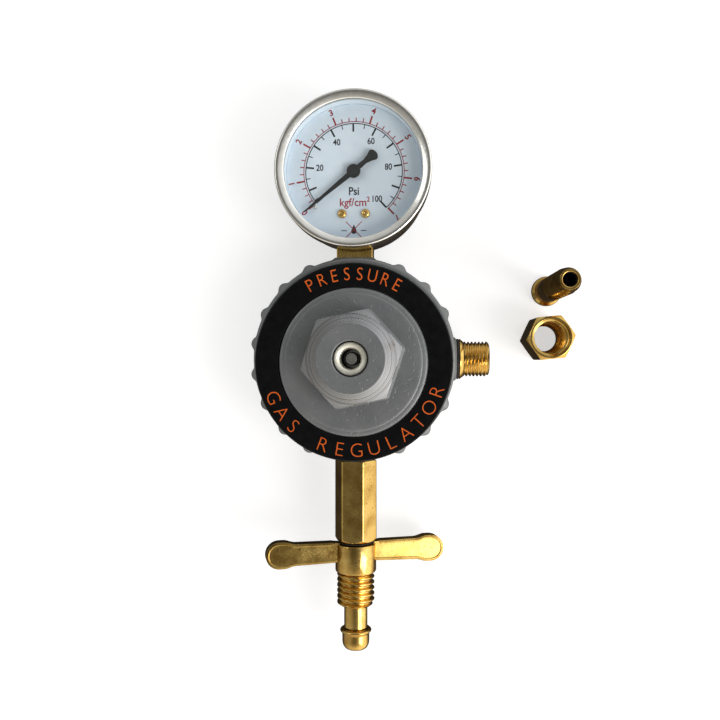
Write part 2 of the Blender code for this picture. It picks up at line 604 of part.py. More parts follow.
def dial_group():
    dial = solid("dial", tube(DIAL_R, 2.2, DIAL_Z, DIAL_Z + DIAL_T, FINE), "dial_white", GAUGE)
    top = DIAL_Z + DIAL_T
    pin = (*polar(STOP_PIN_R, STOP_PIN_ANGLE, (0.0, GAUGE_Y)), 0.0)
    cut(dial, rod(0.9, DIAL_Z - 2, top + 2, 12), pin)
    solid("stop_pin", rod(0.6, DIAL_Z - 0.6, top + 2.6, 12), "plated_steel", pin)
    for side, word in ((-1, "left"), (1, "right")):
        spot = (side * DIAL_SCREW_X, GAUGE_Y + DIAL_SCREW_Y, 0.0)
        cut(dial, rod(1.0, DIAL_Z - 2, top + 2, 12), spot)
        head = [(0.0, DIAL_Z - 3.0), (0.7, DIAL_Z - 3.0), (0.7, top + GAP), (1.65, top + GAP),
                (1.65, top + 0.6), (1.2, top + 1.1), (0.0, top + 1.2)]
        solid(f"dial_screw_{word}", turned(head, TINY), "brass", spot)


def pointer_outline():
    """Tapered blade, round hub and fan-shaped tail, pointing along +X."""
    half_hub = 12.0
    half_neck = 25.0
    hub_low = arc(POINTER_HUB_R, -180 + half_neck, -half_hub, 7)
    hub_high = arc(POINTER_HUB_R, half_hub, 180 - half_neck, 7)
    tail = [(-7.0, 0.9), (-8.6, 2.2), (-POINTER_TAIL_R + 0.6, 1.7), (-POINTER_TAIL_R, 0.0),
            (-POINTER_TAIL_R + 0.6, -1.7), (-8.6, -2.2), (-7.0, -0.9)]
    return hub_low + [(POINTER_TIP_R, -0.12), (POINTER_TIP_R, 0.12)] + hub_high + tail


def pointer_group():
    rest = (0.0, 0.0, radians(POINTER_REST))
    solid("pointer", prism(pointer_outline(), POINTER_Z, POINTER_Z + 0.6), "pointer_black", GAUGE, rest)
    shaft = [(0.0, 9.0), (0.6, 9.0), (0.6, 15.5), (PINION_R - 0.15, 15.5), (PINION_R - 0.15, 19.5),
             (0.6, 19.5), (0.6, POINTER_Z - GAP), (0.0, POINTER_Z - GAP)]
    solid("pinion_shaft", turned(shaft, TINY), "brass", GAUGE)


# ---- gauge movement ---------------------------------------------------------------------

def sector_pivot():
    return polar(SECTOR_R + PINION_R, SECTOR_ANGLE)


def tail_pin():
    """The link's pin on the sector, from the gauge's centre."""
    return polar(TAIL_R, TAIL_ANGLE, sector_pivot())


def tip_pin():
    """The link's pin on the tube's end."""
    return polar(TUBE_R, TIP_ANGLE)


def movement_plates():
    outline = rectangle(-7.5, 15.0, -13.3, 6.0)
    for name, low in (("movement_back_plate", MOVEMENT_LOW_Z), ("movement_front_plate", MOVEMENT_HIGH_Z)):
        plate = solid(name, prism(outline, low, low + PLATE_T), "brass", GAUGE)
        cut(plate, rod(0.9, low - 2, low + 4, TINY), GAUGE)
        x, y = sector_pivot()
        cut(plate, rod(1.2, low - 2, low + 4, TINY), (x, y + GAUGE_Y, 0.0))
    low = MOVEMENT_LOW_Z + PLATE_T + GAP
    spots = {"left": (-5.5, 4.0), "right": (13.0, 4.0), "lower": (-5.5, -11.5)}
    for word, (x, y) in spots.items():
        pillar = rod(1.2, low, MOVEMENT_HIGH_Z - GAP, TINY)
        solid(f"movement_pillar_{word}", pillar, "brass", (x, y + GAUGE_Y, 0.0))


def sector_gear():
    """Toothed sector, its shaft and its tail; the origin is on the shaft's axis."""
    pivot = sector_pivot()
    mesh_at = degrees(atan2(-pivot[1], -pivot[0]))
    fan = arc(SECTOR_R - 0.15, mesh_at - SECTOR_SWEEP - 4, mesh_at + 4, 12)
    near = arc(2.4, mesh_at + 40, mesh_at + 80, 3)
    tail = arc(1.4, TAIL_ANGLE - 90, TAIL_ANGLE + 90, 7, polar(TAIL_R, TAIL_ANGLE))
    other = arc(2.4, TAIL_ANGLE + 60, mesh_at - SECTOR_SWEEP - 50, 3)
    outline = fan + near + tail + other
    place = (pivot[0], pivot[1] + GAUGE_Y, 0.0)
    gear = solid("sector_gear", prism(outline, 16.6, 18.2), "brass", place)
    add(gear, rod(0.9, 9.2, 25.0, TINY), place)
    x, y = tail_pin()
    add(gear, rod(0.6, 17.0, 21.2, 12), (x, y + GAUGE_Y, 0.0))


def link_outline(length):
    """A flat bar with round ends, from the origin along +X."""
    return arc(1.3, 90, 270, 6) + arc(1.3, -90, 90, 6, (length, 0.0))


def bourdon_group():
    steps = 36
    sweep = 360.0 + TUBE_START - TUBE_END
    path = []
    for i in range(steps + 1):
        x, y = polar(TUBE_R, TUBE_START - sweep * i / steps)
        path.append((x, y, PORT_Z))
    section = [(1.0, -3.2), (1.25, 0.0), (1.0, 3.2), (0.0, 4.0), (-1.0, 3.2), (-1.25, 0.0), (-1.0, -3.2),
               (0.0, -4.0)]
    solid("bourdon_tube", swept(path, section), "brass", GAUGE)
    tip_turn = (0.0, 0.0, radians(TIP_ANGLE - 90))
    x, y = tip_pin()
    place = (x, y + GAUGE_Y, 0.0)
    end = solid("bourdon_tip", block(-3.0, 1.6, -1.6, 1.6, 13.5, 18.9), "brass", place, tip_turn)
    add(end, rod(0.6, 15.0, 21.0, TINY), place)
    first = tail_pin()
    length = hypot(x - first[0], y - first[1])
    heading = atan2(y - first[1], x - first[0])
    place = (first[0], first[1] + GAUGE_Y, 0.0)
    bar = solid("tube_link", prism(link_outline(length), 19.4, 20.2), "brass", place, (0.0, 0.0, heading))
    for spot in (first, (x, y)):
        cut(bar, rod(0.9, 17.0, 23.0, TINY), (spot[0], spot[1] + GAUGE_Y, 0.0))


def hairspring():
    turns = 3
    steps = turns * 20
    path = []
    for i in range(steps + 1):
        radius = 1.3 + 3.4 * i / steps
        x, y = polar(radius, 360.0 * turns * i / steps)
        path.append((x, y, 13.6))
    section = rectangle(-0.1, 0.1, -0.5, 0.5)
    solid("hairspring", swept(path, section), "spring_steel", GAUGE)


# ---- loose fittings -----------------------------------------------------------------------

def union_nut():
    place = (UNION_NUT_X, UNION_NUT_Y, 0.0)
    outline = hexagon(UNION_NUT_FLAT_R, UNION_NUT_TURN)
    nut = solid("union_nut", prism(outline, 0.0, UNION_NUT_H), "brass", place)
    corner = UNION_NUT_FLAT_R / cos(radians(30)) + 0.1
    rim = UNION_NUT_FLAT_R - 0.05
    bevel = [(rim, UNION_NUT_H), (corner, UNION_NUT_H - 0.9), (corner + 3, UNION_NUT_H - 0.9),
             (corner + 3, UNION_NUT_H + 1), (rim, UNION_NUT_H + 1)]
    cut(nut, turned(bevel, ROUND), place)
    bore = [(0.0, -2.0), (4.95, -2.0), (4.95, 4.0), (5.95, 5.0)]
    bore += [(5.95, UNION_NUT_H - 2.0), (6.85, UNION_NUT_H - 1.5), (6.85, UNION_NUT_H + 2), (0.0, UNION_NUT_H + 2)]
    cut(nut, turned(bore, ROUND), place)


def hose_nipple():
    place = (TAIL_X, TAIL_Y, 0.0)
    bore_r = 2.52
    outline = [(bore_r, 0.0), (5.2, 0.0), (5.85, 0.8), (5.85, 2.6), (4.7, 3.6), (4.7, 20.0)]
    pitch = 4.4
    barb = 20.0
    while barb < TAIL_H - 6.0:
        outline += [(4.6, barb + 0.4), (3.7, barb + pitch - 0.2), (3.6, barb + pitch)]
        barb += pitch
    outline += [(4.3, barb + 0.2), (3.5, TAIL_H), (bore_r, TAIL_H)]
    solid("hose_nipple", turned(outline, SMALL), "brass", place)


# ---- assembly -------------------------------------------------------------------------------

def main():
    for item in list(bpy.data.objects):
        bpy.data.objects.remove(item)
    body_casting()
    bonnet()
    name_ring()
    diaphragm_group()
    main_spring()
    adjuster()
    inlet_valve()
    inlet_stem()
    hand_nut()
    outlet()
    gauge_socket()
    gauge_shell()
    dial_group()
    pointer_group()
    movement_plates()
    sector_gear()
    bourdon_group()
    hairspring()
    union_nut()
    hose_nipple()


main()
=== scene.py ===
"""Looks of the gas regulator: fine meshes, materials, print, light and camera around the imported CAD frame."""

from math import ceil, cos, radians, sin, sqrt
from types import SimpleNamespace

import bmesh
import bpy
from mathutils import Matrix, Vector

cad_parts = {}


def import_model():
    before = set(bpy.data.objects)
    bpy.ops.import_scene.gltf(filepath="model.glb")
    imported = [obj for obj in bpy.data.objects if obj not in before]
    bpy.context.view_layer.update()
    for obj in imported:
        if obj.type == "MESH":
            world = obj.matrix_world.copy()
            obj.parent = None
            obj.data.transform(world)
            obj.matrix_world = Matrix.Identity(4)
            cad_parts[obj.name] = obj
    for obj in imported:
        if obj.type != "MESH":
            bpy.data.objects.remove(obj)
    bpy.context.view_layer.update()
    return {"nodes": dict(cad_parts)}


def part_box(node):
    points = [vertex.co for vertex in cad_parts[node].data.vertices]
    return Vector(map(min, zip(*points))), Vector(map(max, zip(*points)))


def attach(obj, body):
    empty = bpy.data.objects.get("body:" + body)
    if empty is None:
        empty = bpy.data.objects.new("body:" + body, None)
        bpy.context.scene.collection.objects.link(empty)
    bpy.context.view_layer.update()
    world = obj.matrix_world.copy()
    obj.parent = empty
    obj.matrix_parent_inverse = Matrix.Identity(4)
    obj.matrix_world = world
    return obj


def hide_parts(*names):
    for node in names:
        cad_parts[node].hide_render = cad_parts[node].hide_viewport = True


MM = 0.001
ALONG_INLET = Matrix.Rotation(radians(90), 4, "X")      # local +Z becomes -Y
ALONG_OUTLET = Matrix.Rotation(radians(90), 4, "Y")     # local +Z becomes +X
SMOOTH_ANGLE = 32.0

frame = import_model()


def node_box(name):
    """A CAD node's box at rest in millimetres, with its middle and sizes."""
    low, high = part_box(name)
    low, high = low / MM, high / MM
    middle = (low + high) / 2
    size = high - low
    return SimpleNamespace(x0=low.x, y0=low.y, z0=low.z, x1=high.x, y1=high.y, z1=high.z,
                           cx=middle.x, cy=middle.y, cz=middle.z, sx=size.x, sy=size.y, sz=size.z)


BODY = node_box("body_casting")
BONNET = node_box("bonnet")
RING = node_box("name_ring")
STEM = node_box("inlet_stem")
NUT = node_box("hand_nut")
NOSE = node_box("inlet_nose")
OUTLET = node_box("outlet_nipple")
BEZEL = node_box("gauge_bezel")
CASE = node_box("gauge_case")
DIAL = node_box("dial")
WINDOW = node_box("gauge_window")
POINTER = node_box("pointer")
SOCKET = node_box("gauge_socket")
SCREW = node_box("adjusting_screw")
PIN = node_box("diaphragm_stem")
UNION = node_box("union_nut")
TAIL = node_box("hose_nipple")
PORT_Z = OUTLET.cz
GAUGE = (BEZEL.cx, BEZEL.cy, 0.0)


# ---- mesh tools -----------------------------------------------------------------

def polar(radius, angle, centre=(0.0, 0.0)):
    """A point at a radius and an angle in degrees from a centre."""
    return (centre[0] + radius * cos(radians(angle)), centre[1] + radius * sin(radians(angle)))


def smooth_step(value):
    """0 below 0, 1 above 1, and an even S-curve between."""
    value = min(max(value, 0.0), 1.0)
    return value * value * (3 - 2 * value)


def spread(start, end, count):
    """Evenly spaced numbers from start to end, both included."""
    return [start + (end - start) * i / (count - 1) for i in range(count)]


def soften(outline, size, steps=3):
    """Round each corner of a closed outline with a short curve. Points on the axis stay."""
    result = []
    count = len(outline)
    for i, point in enumerate(outline):
        here = Vector(point)
        before = Vector(outline[i - 1]) - here
        after = Vector(outline[(i + 1) % count]) - here
        if point[0] == 0.0 or before.length < 1e-6 or after.length < 1e-6:
            result.append(tuple(here))
            continue
        reach = min(size, before.length * 0.45, after.length * 0.45)
        start = here + before.normalized() * reach
        end = here + after.normalized() * reach
        for k in range(steps + 1):
            t = k / steps
            spot = start * (1 - t) ** 2 + here * 2 * t * (1 - t) + end * t * t
            result.append(tuple(spot))
    return result


def piece(name, bm, material, body, place=(0.0, 0.0, 0.0), turn=None, replaces=()):
    """Turn a bmesh in millimetres into a piece of the model that rides on a CAD body."""
    bmesh.ops.recalc_face_normals(bm, faces=bm.faces)
    if turn is not None:
        bmesh.ops.transform(bm, matrix=turn, verts=bm.verts)
    bmesh.ops.translate(bm, vec=place, verts=bm.verts)
    bmesh.ops.scale(bm, vec=(MM, MM, MM), verts=bm.verts)
    mesh = bpy.data.meshes.new(name)
    bm.to_mesh(mesh)
    bm.free()
    mesh.shade_smooth()
    mesh.set_sharp_from_angle(angle=radians(SMOOTH_ANGLE))
    mesh.materials.append(material)
    item = bpy.data.objects.new(name, mesh)
    bpy.context.scene.collection.objects.link(item)
    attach(item, body)
    if replaces:
        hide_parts(*replaces)
    return item


def lathe(outline, segments=160, reshape=None):
    """Revolve a closed (radius, height) outline. reshape may move each point by its angle."""
    bm = bmesh.new()
    rows = []
    for radius, height in outline:
        if radius == 0.0:
            rows.append([bm.verts.new((0.0, 0.0, height))])
            continue
        row = []
        for i in range(segments):
            angle = 360.0 * i / segments
            r, z = reshape(angle, radius, height) if reshape else (radius, height)
            row.append(bm.verts.new((*polar(r, angle), z)))
        rows.append(row)
    for row, following in zip(rows, rows[1:] + rows[:1]):
        if len(row) == 1 and len(following) == 1:
            continue
        for i in range(segments):
            j = (i + 1) % segments
            corners = [row[i % len(row)], row[j % len(row)], following[j % len(following)],
                       following[i % len(following)]]
            bm.faces.new(list(dict.fromkeys(corners)))
    return bm


def prism(outline, low, high):
    """Extrude a closed (x, y) outline from one height to another."""
    bm = bmesh.new()
    bottom = [bm.verts.new((x, y, low)) for x, y in outline]
    top = [bm.verts.new((x, y, high)) for x, y in outline]
    bm.faces.new(bottom)
    bm.faces.new(top)
    for i in range(len(outline)):
        j = (i + 1) % len(outline)
        bm.faces.new((bottom[i], bottom[j], top[j], top[i]))
    return bm


def pour(target, source, matrix=None):
    """Add one bmesh's geometry to another, and free the source."""
    mesh = bpy.data.meshes.new("poured")
    if matrix is not None:
        bmesh.ops.transform(source, matrix=matrix, verts=source.verts)
    source.to_mesh(mesh)
    source.free()
    target.from_mesh(mesh)
    bpy.data.meshes.remove(mesh)


def hex_radius(angle, flat, turn, rounding=0.25):
    """Distance from a hexagon's centre to its outline, with slightly rounded corners."""
    away = (angle - turn) % 60 - 30
    corner = flat / cos(radians(30))
    return min(flat / cos(radians(away)), corner - rounding + 0.04 * (30 - abs(away)))


def tooth(phase):
    """Depth of a thread's groove, 0 at the crest and 1 at the root."""
    return smooth_step((1 - abs(2 * (phase % 1.0) - 1) - 0.14) / 0.72)


def thread_shape(radius, depth, pitch, start, end, hand=1, inside=False):
    """A reshape function that cuts a helical thread between two heights."""
    def reshape(angle, r, z):
        if abs(r - radius) > 0.02 or not start <= z <= end:
            return r, z
        fade = smooth_step((z - start) / (0.8 * pitch)) * smooth_step((end - z) / (0.5 * pitch))
        cut = depth * tooth(z / pitch - hand * angle / 360.0) * fade
        return (r + cut if inside else r - cut), z
    return reshape


def thread_rows(radius, pitch, start, end, steps=14):
    """Evenly spaced rows for a threaded stretch."""
    count = ceil((end - start) / pitch * steps)
    return [(radius, z) for z in spread(start, end, count)]


def bevelled(item, width, segments=2, angle=32):
    """Small rounded edges on a piece."""
    modifier = item.modifiers.new("edges", "BEVEL")
    modifier.width = width * MM
    modifier.segments = segments
    modifier.limit_method = "ANGLE"
    modifier.angle_limit = radians(angle)
    modifier.harden_normals = False
    return item


# ---- materials -------------------------------------------------------------------

class Shader:
    """A small helper around one Principled material's node tree."""

    def __init__(self, name, roughness=0.5, metallic=0.0, **plain):
        self.material = bpy.data.materials.new(name)
        self.material.use_nodes = True
        self.nodes = self.material.node_tree.nodes
        self.links = self.material.node_tree.links
        self.principled = self.nodes["Principled BSDF"]
        self.set("Roughness", roughness)
        self.set("Metallic", metallic)
        for key, value in plain.items():
            self.set(key.replace("_", " "), value)
        self.coordinates = self.nodes.new("ShaderNodeTexCoord").outputs["Object"]
        self.normal = None

    def set(self, socket, value):
        self.principled.inputs[socket].default_value = value

    def link(self, output, socket):
        self.links.new(output, self.principled.inputs[socket])

    def stretched(self, scale):
        """Object coordinates in metres, scaled along each axis."""
        mapping = self.nodes.new("ShaderNodeMapping")
        mapping.inputs["Scale"].default_value = scale
        self.links.new(self.coordinates, mapping.inputs["Vector"])
        return mapping.outputs["Vector"]

    def noise(self, scale, detail=3.0, vector=None, roughness=0.55):
        node = self.nodes.new("ShaderNodeTexNoise")
        node.inputs["Scale"].default_value = scale
        node.inputs["Detail"].default_value = detail
        node.inputs["Roughness"].default_value = roughness
        self.links.new(vector or self.coordinates, node.inputs["Vector"])
        return node.outputs["Fac"]

    def ramp(self, factor, stops):
        """A colour ramp with (position, colour) stops."""
        node = self.nodes.new("ShaderNodeValToRGB")
        elements = node.color_ramp.elements
        while len(elements) < len(stops):
            elements.new(0.5)
        for element, (position, colour) in zip(elements, stops):
            element.position = position
            element.color = (*colour, 1.0)
        self.links.new(factor, node.inputs["Fac"])
        return node.outputs["Color"]

    def spread(self, factor, low, high, start=0.3, end=0.7):
        """Map a 0..1 pattern to a range of values."""
        node = self.nodes.new("ShaderNodeMapRange")
        node.inputs["From Min"].default_value = start
        node.inputs["From Max"].default_value = end
        node.inputs["To Min"].default_value = low
        node.inputs["To Max"].default_value = high
        self.links.new(factor, node.inputs["Value"])
        return node.outputs["Result"]

    def maths(self, operation, first, second=None):
        node = self.nodes.new("ShaderNodeMath")
        node.operation = operation
        for socket, value in zip(node.inputs, (first, second)):
            if value is None:
                continue
            if isinstance(value, (int, float)):
                socket.default_value = value
            else:
                self.links.new(value, socket)
        return node.outputs["Value"]

    def mix(self, factor, first, second, blend="MIX"):
        """Mix two colours. The factor is a number or another node's output."""
        node = self.nodes.new("ShaderNodeMix")
        node.data_type = "RGBA"
        node.blend_type = blend
        colours = [s for s in node.inputs if s.type == "RGBA"]
        if isinstance(factor, float):
            node.inputs["Factor"].default_value = factor
        else:
            self.links.new(factor, node.inputs["Factor"])
        for socket, value in zip(colours, (first, second)):
            if isinstance(value, tuple):
                socket.default_value = (*value, 1.0)
            else:
                self.links.new(value, socket)
        return [s for s in node.outputs if s.type == "RGBA"][0]

    def bump(self, height, strength, distance):
        """Add a bump of the given height in millimetres on top of any earlier one."""
        node = self.nodes.new("ShaderNodeBump")
        node.inputs["Strength"].default_value = strength
        node.inputs["Distance"].default_value = distance * MM
        self.links.new(height, node.inputs["Height"])
        if self.normal is not None:
            self.links.new(self.normal, node.inputs["Normal"])
        self.normal = node.outputs["Normal"]
        self.link(self.normal, "Normal")


def brass(name, axis="Y", dark=1.0, marks=0.5, gloss=(0.10, 0.22)):
    """Machined brass with turning marks across the given axis, tarnish and fine scratches."""
    s = Shader(name, metallic=1.0)
    mottle = s.noise(170, 4)
    fine = s.noise(1500, 3)
    bright = tuple(c * dark for c in (0.74, 0.50, 0.15))
    deep = tuple(c * dark for c in (0.50, 0.29, 0.065))
    base = s.ramp(mottle, [(0.32, deep), (0.62, bright)])
    speck = s.ramp(s.noise(900, 2), [(0.30, (0.30, 0.17, 0.05)), (0.38, (1.0, 1.0, 1.0))])
    s.link(s.mix(0.55, base, speck, "MULTIPLY"), "Base Color")
    scale = {"X": (2600, 60, 60), "Y": (60, 2600, 60), "Z": (60, 60, 2600)}[axis]
    turning = s.noise(1.0, 2, s.stretched(scale))
    wear = s.maths("ADD", fine, s.maths("MULTIPLY", mottle, 0.8))
    s.link(s.spread(wear, *gloss, 0.7, 1.2), "Roughness")
    s.bump(turning, marks * 0.35, 0.02)
    s.bump(fine, 0.12, 0.02)
    s.bump(s.noise(260, 2), 0.10, 0.08)
    return s.material


CAST_LOW = (0.170, 0.175, 0.178)
CAST_HIGH = (0.215, 0.220, 0.220)


def cast_texture(s, grain, mask=None):
    """Fine grain, an uneven spray coat and small pits, only where the mask is 1."""
    pits = s.spread(s.noise(620, 1), 0.0, 1.0, 0.28, 0.36)
    for height, strength, depth in ((grain, 0.7, 0.07), (s.noise(420, 3), 0.6, 0.16), (pits, 0.7, 0.12)):
        s.bump(s.maths("MULTIPLY", height, mask) if mask else height, strength, depth)


def cast_grey(name):
    """Satin die-cast metal with a sprayed finish, faint pits and rubbed spots."""
    s = Shader(name, metallic=0.35, roughness=0.42)
    cloud = s.noise(90, 4)
    grain = s.noise(2400, 4)
    s.link(s.ramp(cloud, [(0.3, CAST_LOW), (0.7, CAST_HIGH)]), "Base Color")
    s.link(s.spread(grain, 0.36, 0.52), "Roughness")
    cast_texture(s, grain)
    return s.material


def bonnet_grey(name):
    """The same casting, with bright turned rings on the hexagon's cone."""
    s = Shader(name, metallic=0.35)
    cloud = s.noise(90, 4)
    grain = s.noise(2400, 4)
    painted = s.ramp(cloud, [(0.3, CAST_LOW), (0.7, CAST_HIGH)])
    split = s.nodes.new("ShaderNodeSeparateXYZ")
    s.links.new(s.coordinates, split.inputs["Vector"])
    square = s.maths("ADD", s.maths("MULTIPLY", split.outputs["X"], split.outputs["X"]),
                     s.maths("MULTIPLY", split.outputs["Y"], split.outputs["Y"]))
    radius = s.maths("SQRT", square)
    outside_face = s.maths("GREATER_THAN", radius, (HEX_FACE_R + 0.15) * MM)
    above_flats = s.maths("GREATER_THAN", split.outputs["Z"], (BONNET.z1 - CONE_DEPTH) * MM)
    geometry = s.nodes.new("ShaderNodeNewGeometry")
    facing = s.nodes.new("ShaderNodeSeparateXYZ")
    s.links.new(geometry.outputs["Normal"], facing.inputs["Vector"])
    tilted = s.maths("GREATER_THAN", facing.outputs["Z"], 0.2)
    cone = s.maths("MULTIPLY", s.maths("MULTIPLY", outside_face, above_flats), tilted)
    lines = s.nodes.new("ShaderNodeCombineXYZ")
    s.links.new(s.maths("MULTIPLY", radius, 1900.0), lines.inputs["X"])
    rings = s.noise(1.0, 3, lines.outputs["Vector"])
    bare = s.ramp(rings, [(0.35, (0.20, 0.20, 0.20)), (0.65, (0.36, 0.36, 0.37))])
    s.link(s.mix(cone, painted, bare), "Base Color")
    smoother = s.maths("SUBTRACT", grain, s.maths("MULTIPLY", cone, 0.35))
    s.link(s.spread(smoother, 0.22, 0.50, 0.0, 0.7), "Roughness")
    s.link(s.maths("ADD", s.maths("MULTIPLY", cone, 0.5), 0.35), "Metallic")
    s.bump(s.maths("MULTIPLY", rings, cone), 0.5, 0.05)
    cast_texture(s, grain, s.maths("SUBTRACT", 1.0, cone))
    return s.material


def gloss_black(name):
    s = Shader(name, roughness=0.12, Coat_Weight=0.05, Coat_Roughness=0.04, Specular_IOR_Level=0.2)
    stops = [(0.3, (0.0025, 0.0025, 0.003)), (0.75, (0.006, 0.006, 0.007))]
    s.link(s.ramp(s.noise(300, 3), stops), "Base Color")
    s.link(s.spread(s.noise(900, 4), 0.09, 0.22), "Roughness")
    s.bump(s.noise(140, 2), 0.05, 0.12)
    return s.material


def metal(name, low, high, rough_low, rough_high, wave=0.08, scale=220):
    """Plated or drawn metal with faint waviness."""
    s = Shader(name, metallic=1.0)
    s.link(s.ramp(s.noise(scale, 4), [(0.3, low), (0.7, high)]), "Base Color")
    s.link(s.spread(s.noise(1100, 4), rough_low, rough_high), "Roughness")
    s.bump(s.noise(scale, 2), wave, 0.15)
    s.bump(s.noise(3000, 2), 0.08, 0.01)
    return s.material


def coated(name, low, high, rough_low, rough_high, grain=1800, depth=0.02, strength=0.25):
    """Paint, plastic, rubber or print: a mottled colour and a fine surface grain."""
    s = Shader(name)
    s.link(s.ramp(s.noise(260, 4), [(0.3, low), (0.7, high)]), "Base Color")
    s.link(s.spread(s.noise(grain * 0.6, 3), rough_low, rough_high), "Roughness")
    s.bump(s.noise(grain, 3), strength, depth)
    return s.material


def window_glass(name):
    """Clear flat glass that only adds a faint reflection and an uneven, very light haze."""
    s = Shader(name, roughness=0.03, IOR=1.45)
    s.link(s.ramp(s.noise(500, 3), [(0.3, (0.30, 0.33, 0.36)), (0.7, (0.36, 0.39, 0.42))]), "Base Color")
    s.link(s.spread(s.noise(700, 4), 0.014, 0.028), "Alpha")
    s.link(s.spread(s.noise(300, 3), 0.02, 0.06), "Roughness")
    return s.material


HEX_FACE_R = 12.0
CONE_DEPTH = 6.4

BRASS_Y = brass("brass_turned_y", "Y")
BRASS_X = brass("brass_turned_x", "X")
BRASS_Z = brass("brass_turned_z", "Z")
BRASS_CAST = brass("brass_forged", "Z", dark=0.9, marks=0.1, gloss=(0.20, 0.36))
# A darker copy of the forged brass for the left wing: painted shade for the dimmer left side, not tarnish.
BRASS_SHADED_WING = brass("brass_wing_painted_shade", "Z", dark=0.5, marks=1.0, gloss=(0.12, 0.3))
CAST = cast_grey("cast_grey_satin")
BONNET_GREY = bonnet_grey("cast_grey_turned")
RING_BLACK = gloss_black("ring_gloss_black")
ORANGE = coated("print_orange", (0.60, 0.085, 0.004), (0.78, 0.135, 0.008), 0.35, 0.55)
NICKEL = metal("bezel_nickel_plate", (0.84, 0.81, 0.74), (0.95, 0.93, 0.87), 0.13, 0.26)
STEEL = metal("plated_steel", (0.55, 0.53, 0.47), (0.74, 0.72, 0.66), 0.14, 0.28)
SCREW_ZINC = metal("screw_zinc_plate", (0.66, 0.64, 0.54), (0.86, 0.83, 0.72), 0.34, 0.5)
PIN_STEEL = metal("dull_pin_steel", (0.28, 0.28, 0.27), (0.42, 0.42, 0.40), 0.4, 0.55)
SPRING = metal("spring_wire", (0.36, 0.36, 0.37), (0.5, 0.5, 0.52), 0.2, 0.35)
CASE_PAINT = coated("case_black_brown", (0.016, 0.012, 0.010), (0.035, 0.026, 0.022), 0.22, 0.38, 1200, 0.03)
DIAL_PAINT = coated("dial_pale_blue", (0.66, 0.76, 0.84), (0.72, 0.81, 0.88), 0.4, 0.55, 2600, 0.01, 0.1)
# Near-black material for thin sleeves inside bores: painted shade for the deep holes.
BORE_PAINTED_SHADE = coated("bore_painted_shade", (0.003, 0.0025, 0.002), (0.008, 0.006, 0.004), 0.55, 0.8)
PRINT_BLACK = coated("print_black", (0.010, 0.010, 0.012), (0.022, 0.022, 0.024), 0.4, 0.6)
PRINT_RED = coated("print_red", (0.25, 0.004, 0.006), (0.36, 0.010, 0.012), 0.4, 0.6)
POINTER_PAINT = coated("pointer_black", (0.010, 0.010, 0.009), (0.022, 0.021, 0.019), 0.3, 0.5)
RUBBER = coated("rubber_black", (0.008, 0.008, 0.008), (0.02, 0.02, 0.02), 0.6, 0.8)
GLASS = window_glass("window_glass")


# ---- body casting ------------------------------------------------------------------

LOBE_PITCH = 18.0
LOBE_R = 2.6
RIM_R = 37.4
LOBE_TIP_R = 38.85
RECESS_R = 31.4
OUTLET_BOSS_X = 37.9
INLET_BOSS_Y = 37.6
GAUGE_BOSS_Y = 37.6
SKIN_VOXEL = 0.45


def lobe_angles():
    """Angles of the grip lobes, which leave out the inlet, outlet and gauge bosses."""
    angles = [LOBE_PITCH / 2 + LOBE_PITCH * i for i in range(20)]
    return [a for a in angles if all(abs((a - b + 180) % 360 - 180) > LOBE_PITCH for b in (0, 90, 270))]


def rim_shape(angle, r, z):
    """Raise the half-round grip lobes on the rim."""
    if r < RIM_R - 1.0:
        return r, z
    centre = LOBE_TIP_R - LOBE_R
    away = min(abs((angle - a + 180) % 360 - 180) for a in lobe_angles())
    side = centre * sin(radians(away))
    if side >= LOBE_R:
        return r, z
    lobe = centre * cos(radians(away)) + sqrt(LOBE_R ** 2 - side ** 2)
    height = smooth_step((z - 19.6) / 1.6) * smooth_step((BODY.z1 - 0.4 - z) / 1.3)
    return r + max(lobe - r, 0.0) * height, z


def body_piece():
    """Bowl, lobed rim and three bosses, run together into one skin with cast edges."""
    top = BODY.z1
    rim = RIM_R - 0.3
    outline = [(0.0, 0.02), (21.0, 0.02), (22.0, 1.0), (30.0, 13.0), (35.8, 19.4)]
    outline += [(rim + 0.2, z) for z in spread(20.4, top - 0.8, 12)]
    outline += [(rim - 0.2, top - 0.3), (rim - 0.7, top), (RECESS_R, top), (RECESS_R, 22.0), (23.5, 21.6),
                (23.5, 7.0), (0.0, 7.0)]
    bm = lathe(outline, 360, rim_shape)
    port = Matrix.Translation((0.0, 0.0, PORT_Z))
    end = GAUGE_BOSS_Y - 0.05
    outline = [(-11.0, 26.5), (11.0, 26.5), (9.0, end - 1.8), (7.2, end), (-7.2, end), (-9.0, end - 1.8)]
    boss = prism(outline, PORT_Z - 8.0, PORT_Z + 9.0)
    pour(bm, boss)
    outlet = lathe([(0.0, 26.5), (8.3, 26.5), (8.3, OUTLET_BOSS_X - 0.6), (7.7, OUTLET_BOSS_X),
                    (0.0, OUTLET_BOSS_X)], 96)
    pour(bm, outlet, port @ ALONG_OUTLET)
    inlet = lathe([(0.0, 26.5), (9.0, 26.5), (9.0, INLET_BOSS_Y), (0.0, INLET_BOSS_Y)], 96)
    pour(bm, inlet, port @ ALONG_INLET)
    item = piece("body_casting_fine", bm, CAST, "root", replaces=("body_casting",))
    remesh = item.modifiers.new("one_skin", "REMESH")
    remesh.mode = "VOXEL"
    remesh.voxel_size = SKIN_VOXEL * MM
    remesh.use_smooth_shade = True
    soften_cast = item.modifiers.new("cast_edges", "SMOOTH")
    soften_cast.factor = 0.6
    soften_cast.iterations = 3


body_piece()


# ---- bonnet --------------------------------------------------------------------------

HEX_FLAT = 16.0
HEX_TURN = 12.0
BORE_R = 6.25
DISC_TOP = 31.5
DISC_R = 26.9
CONE = [(HEX_FACE_R, 0.0), (14.25, -2.1), (14.3, -2.35), (15.95, -3.9), (16.0, -4.2), (18.9, -6.3)]


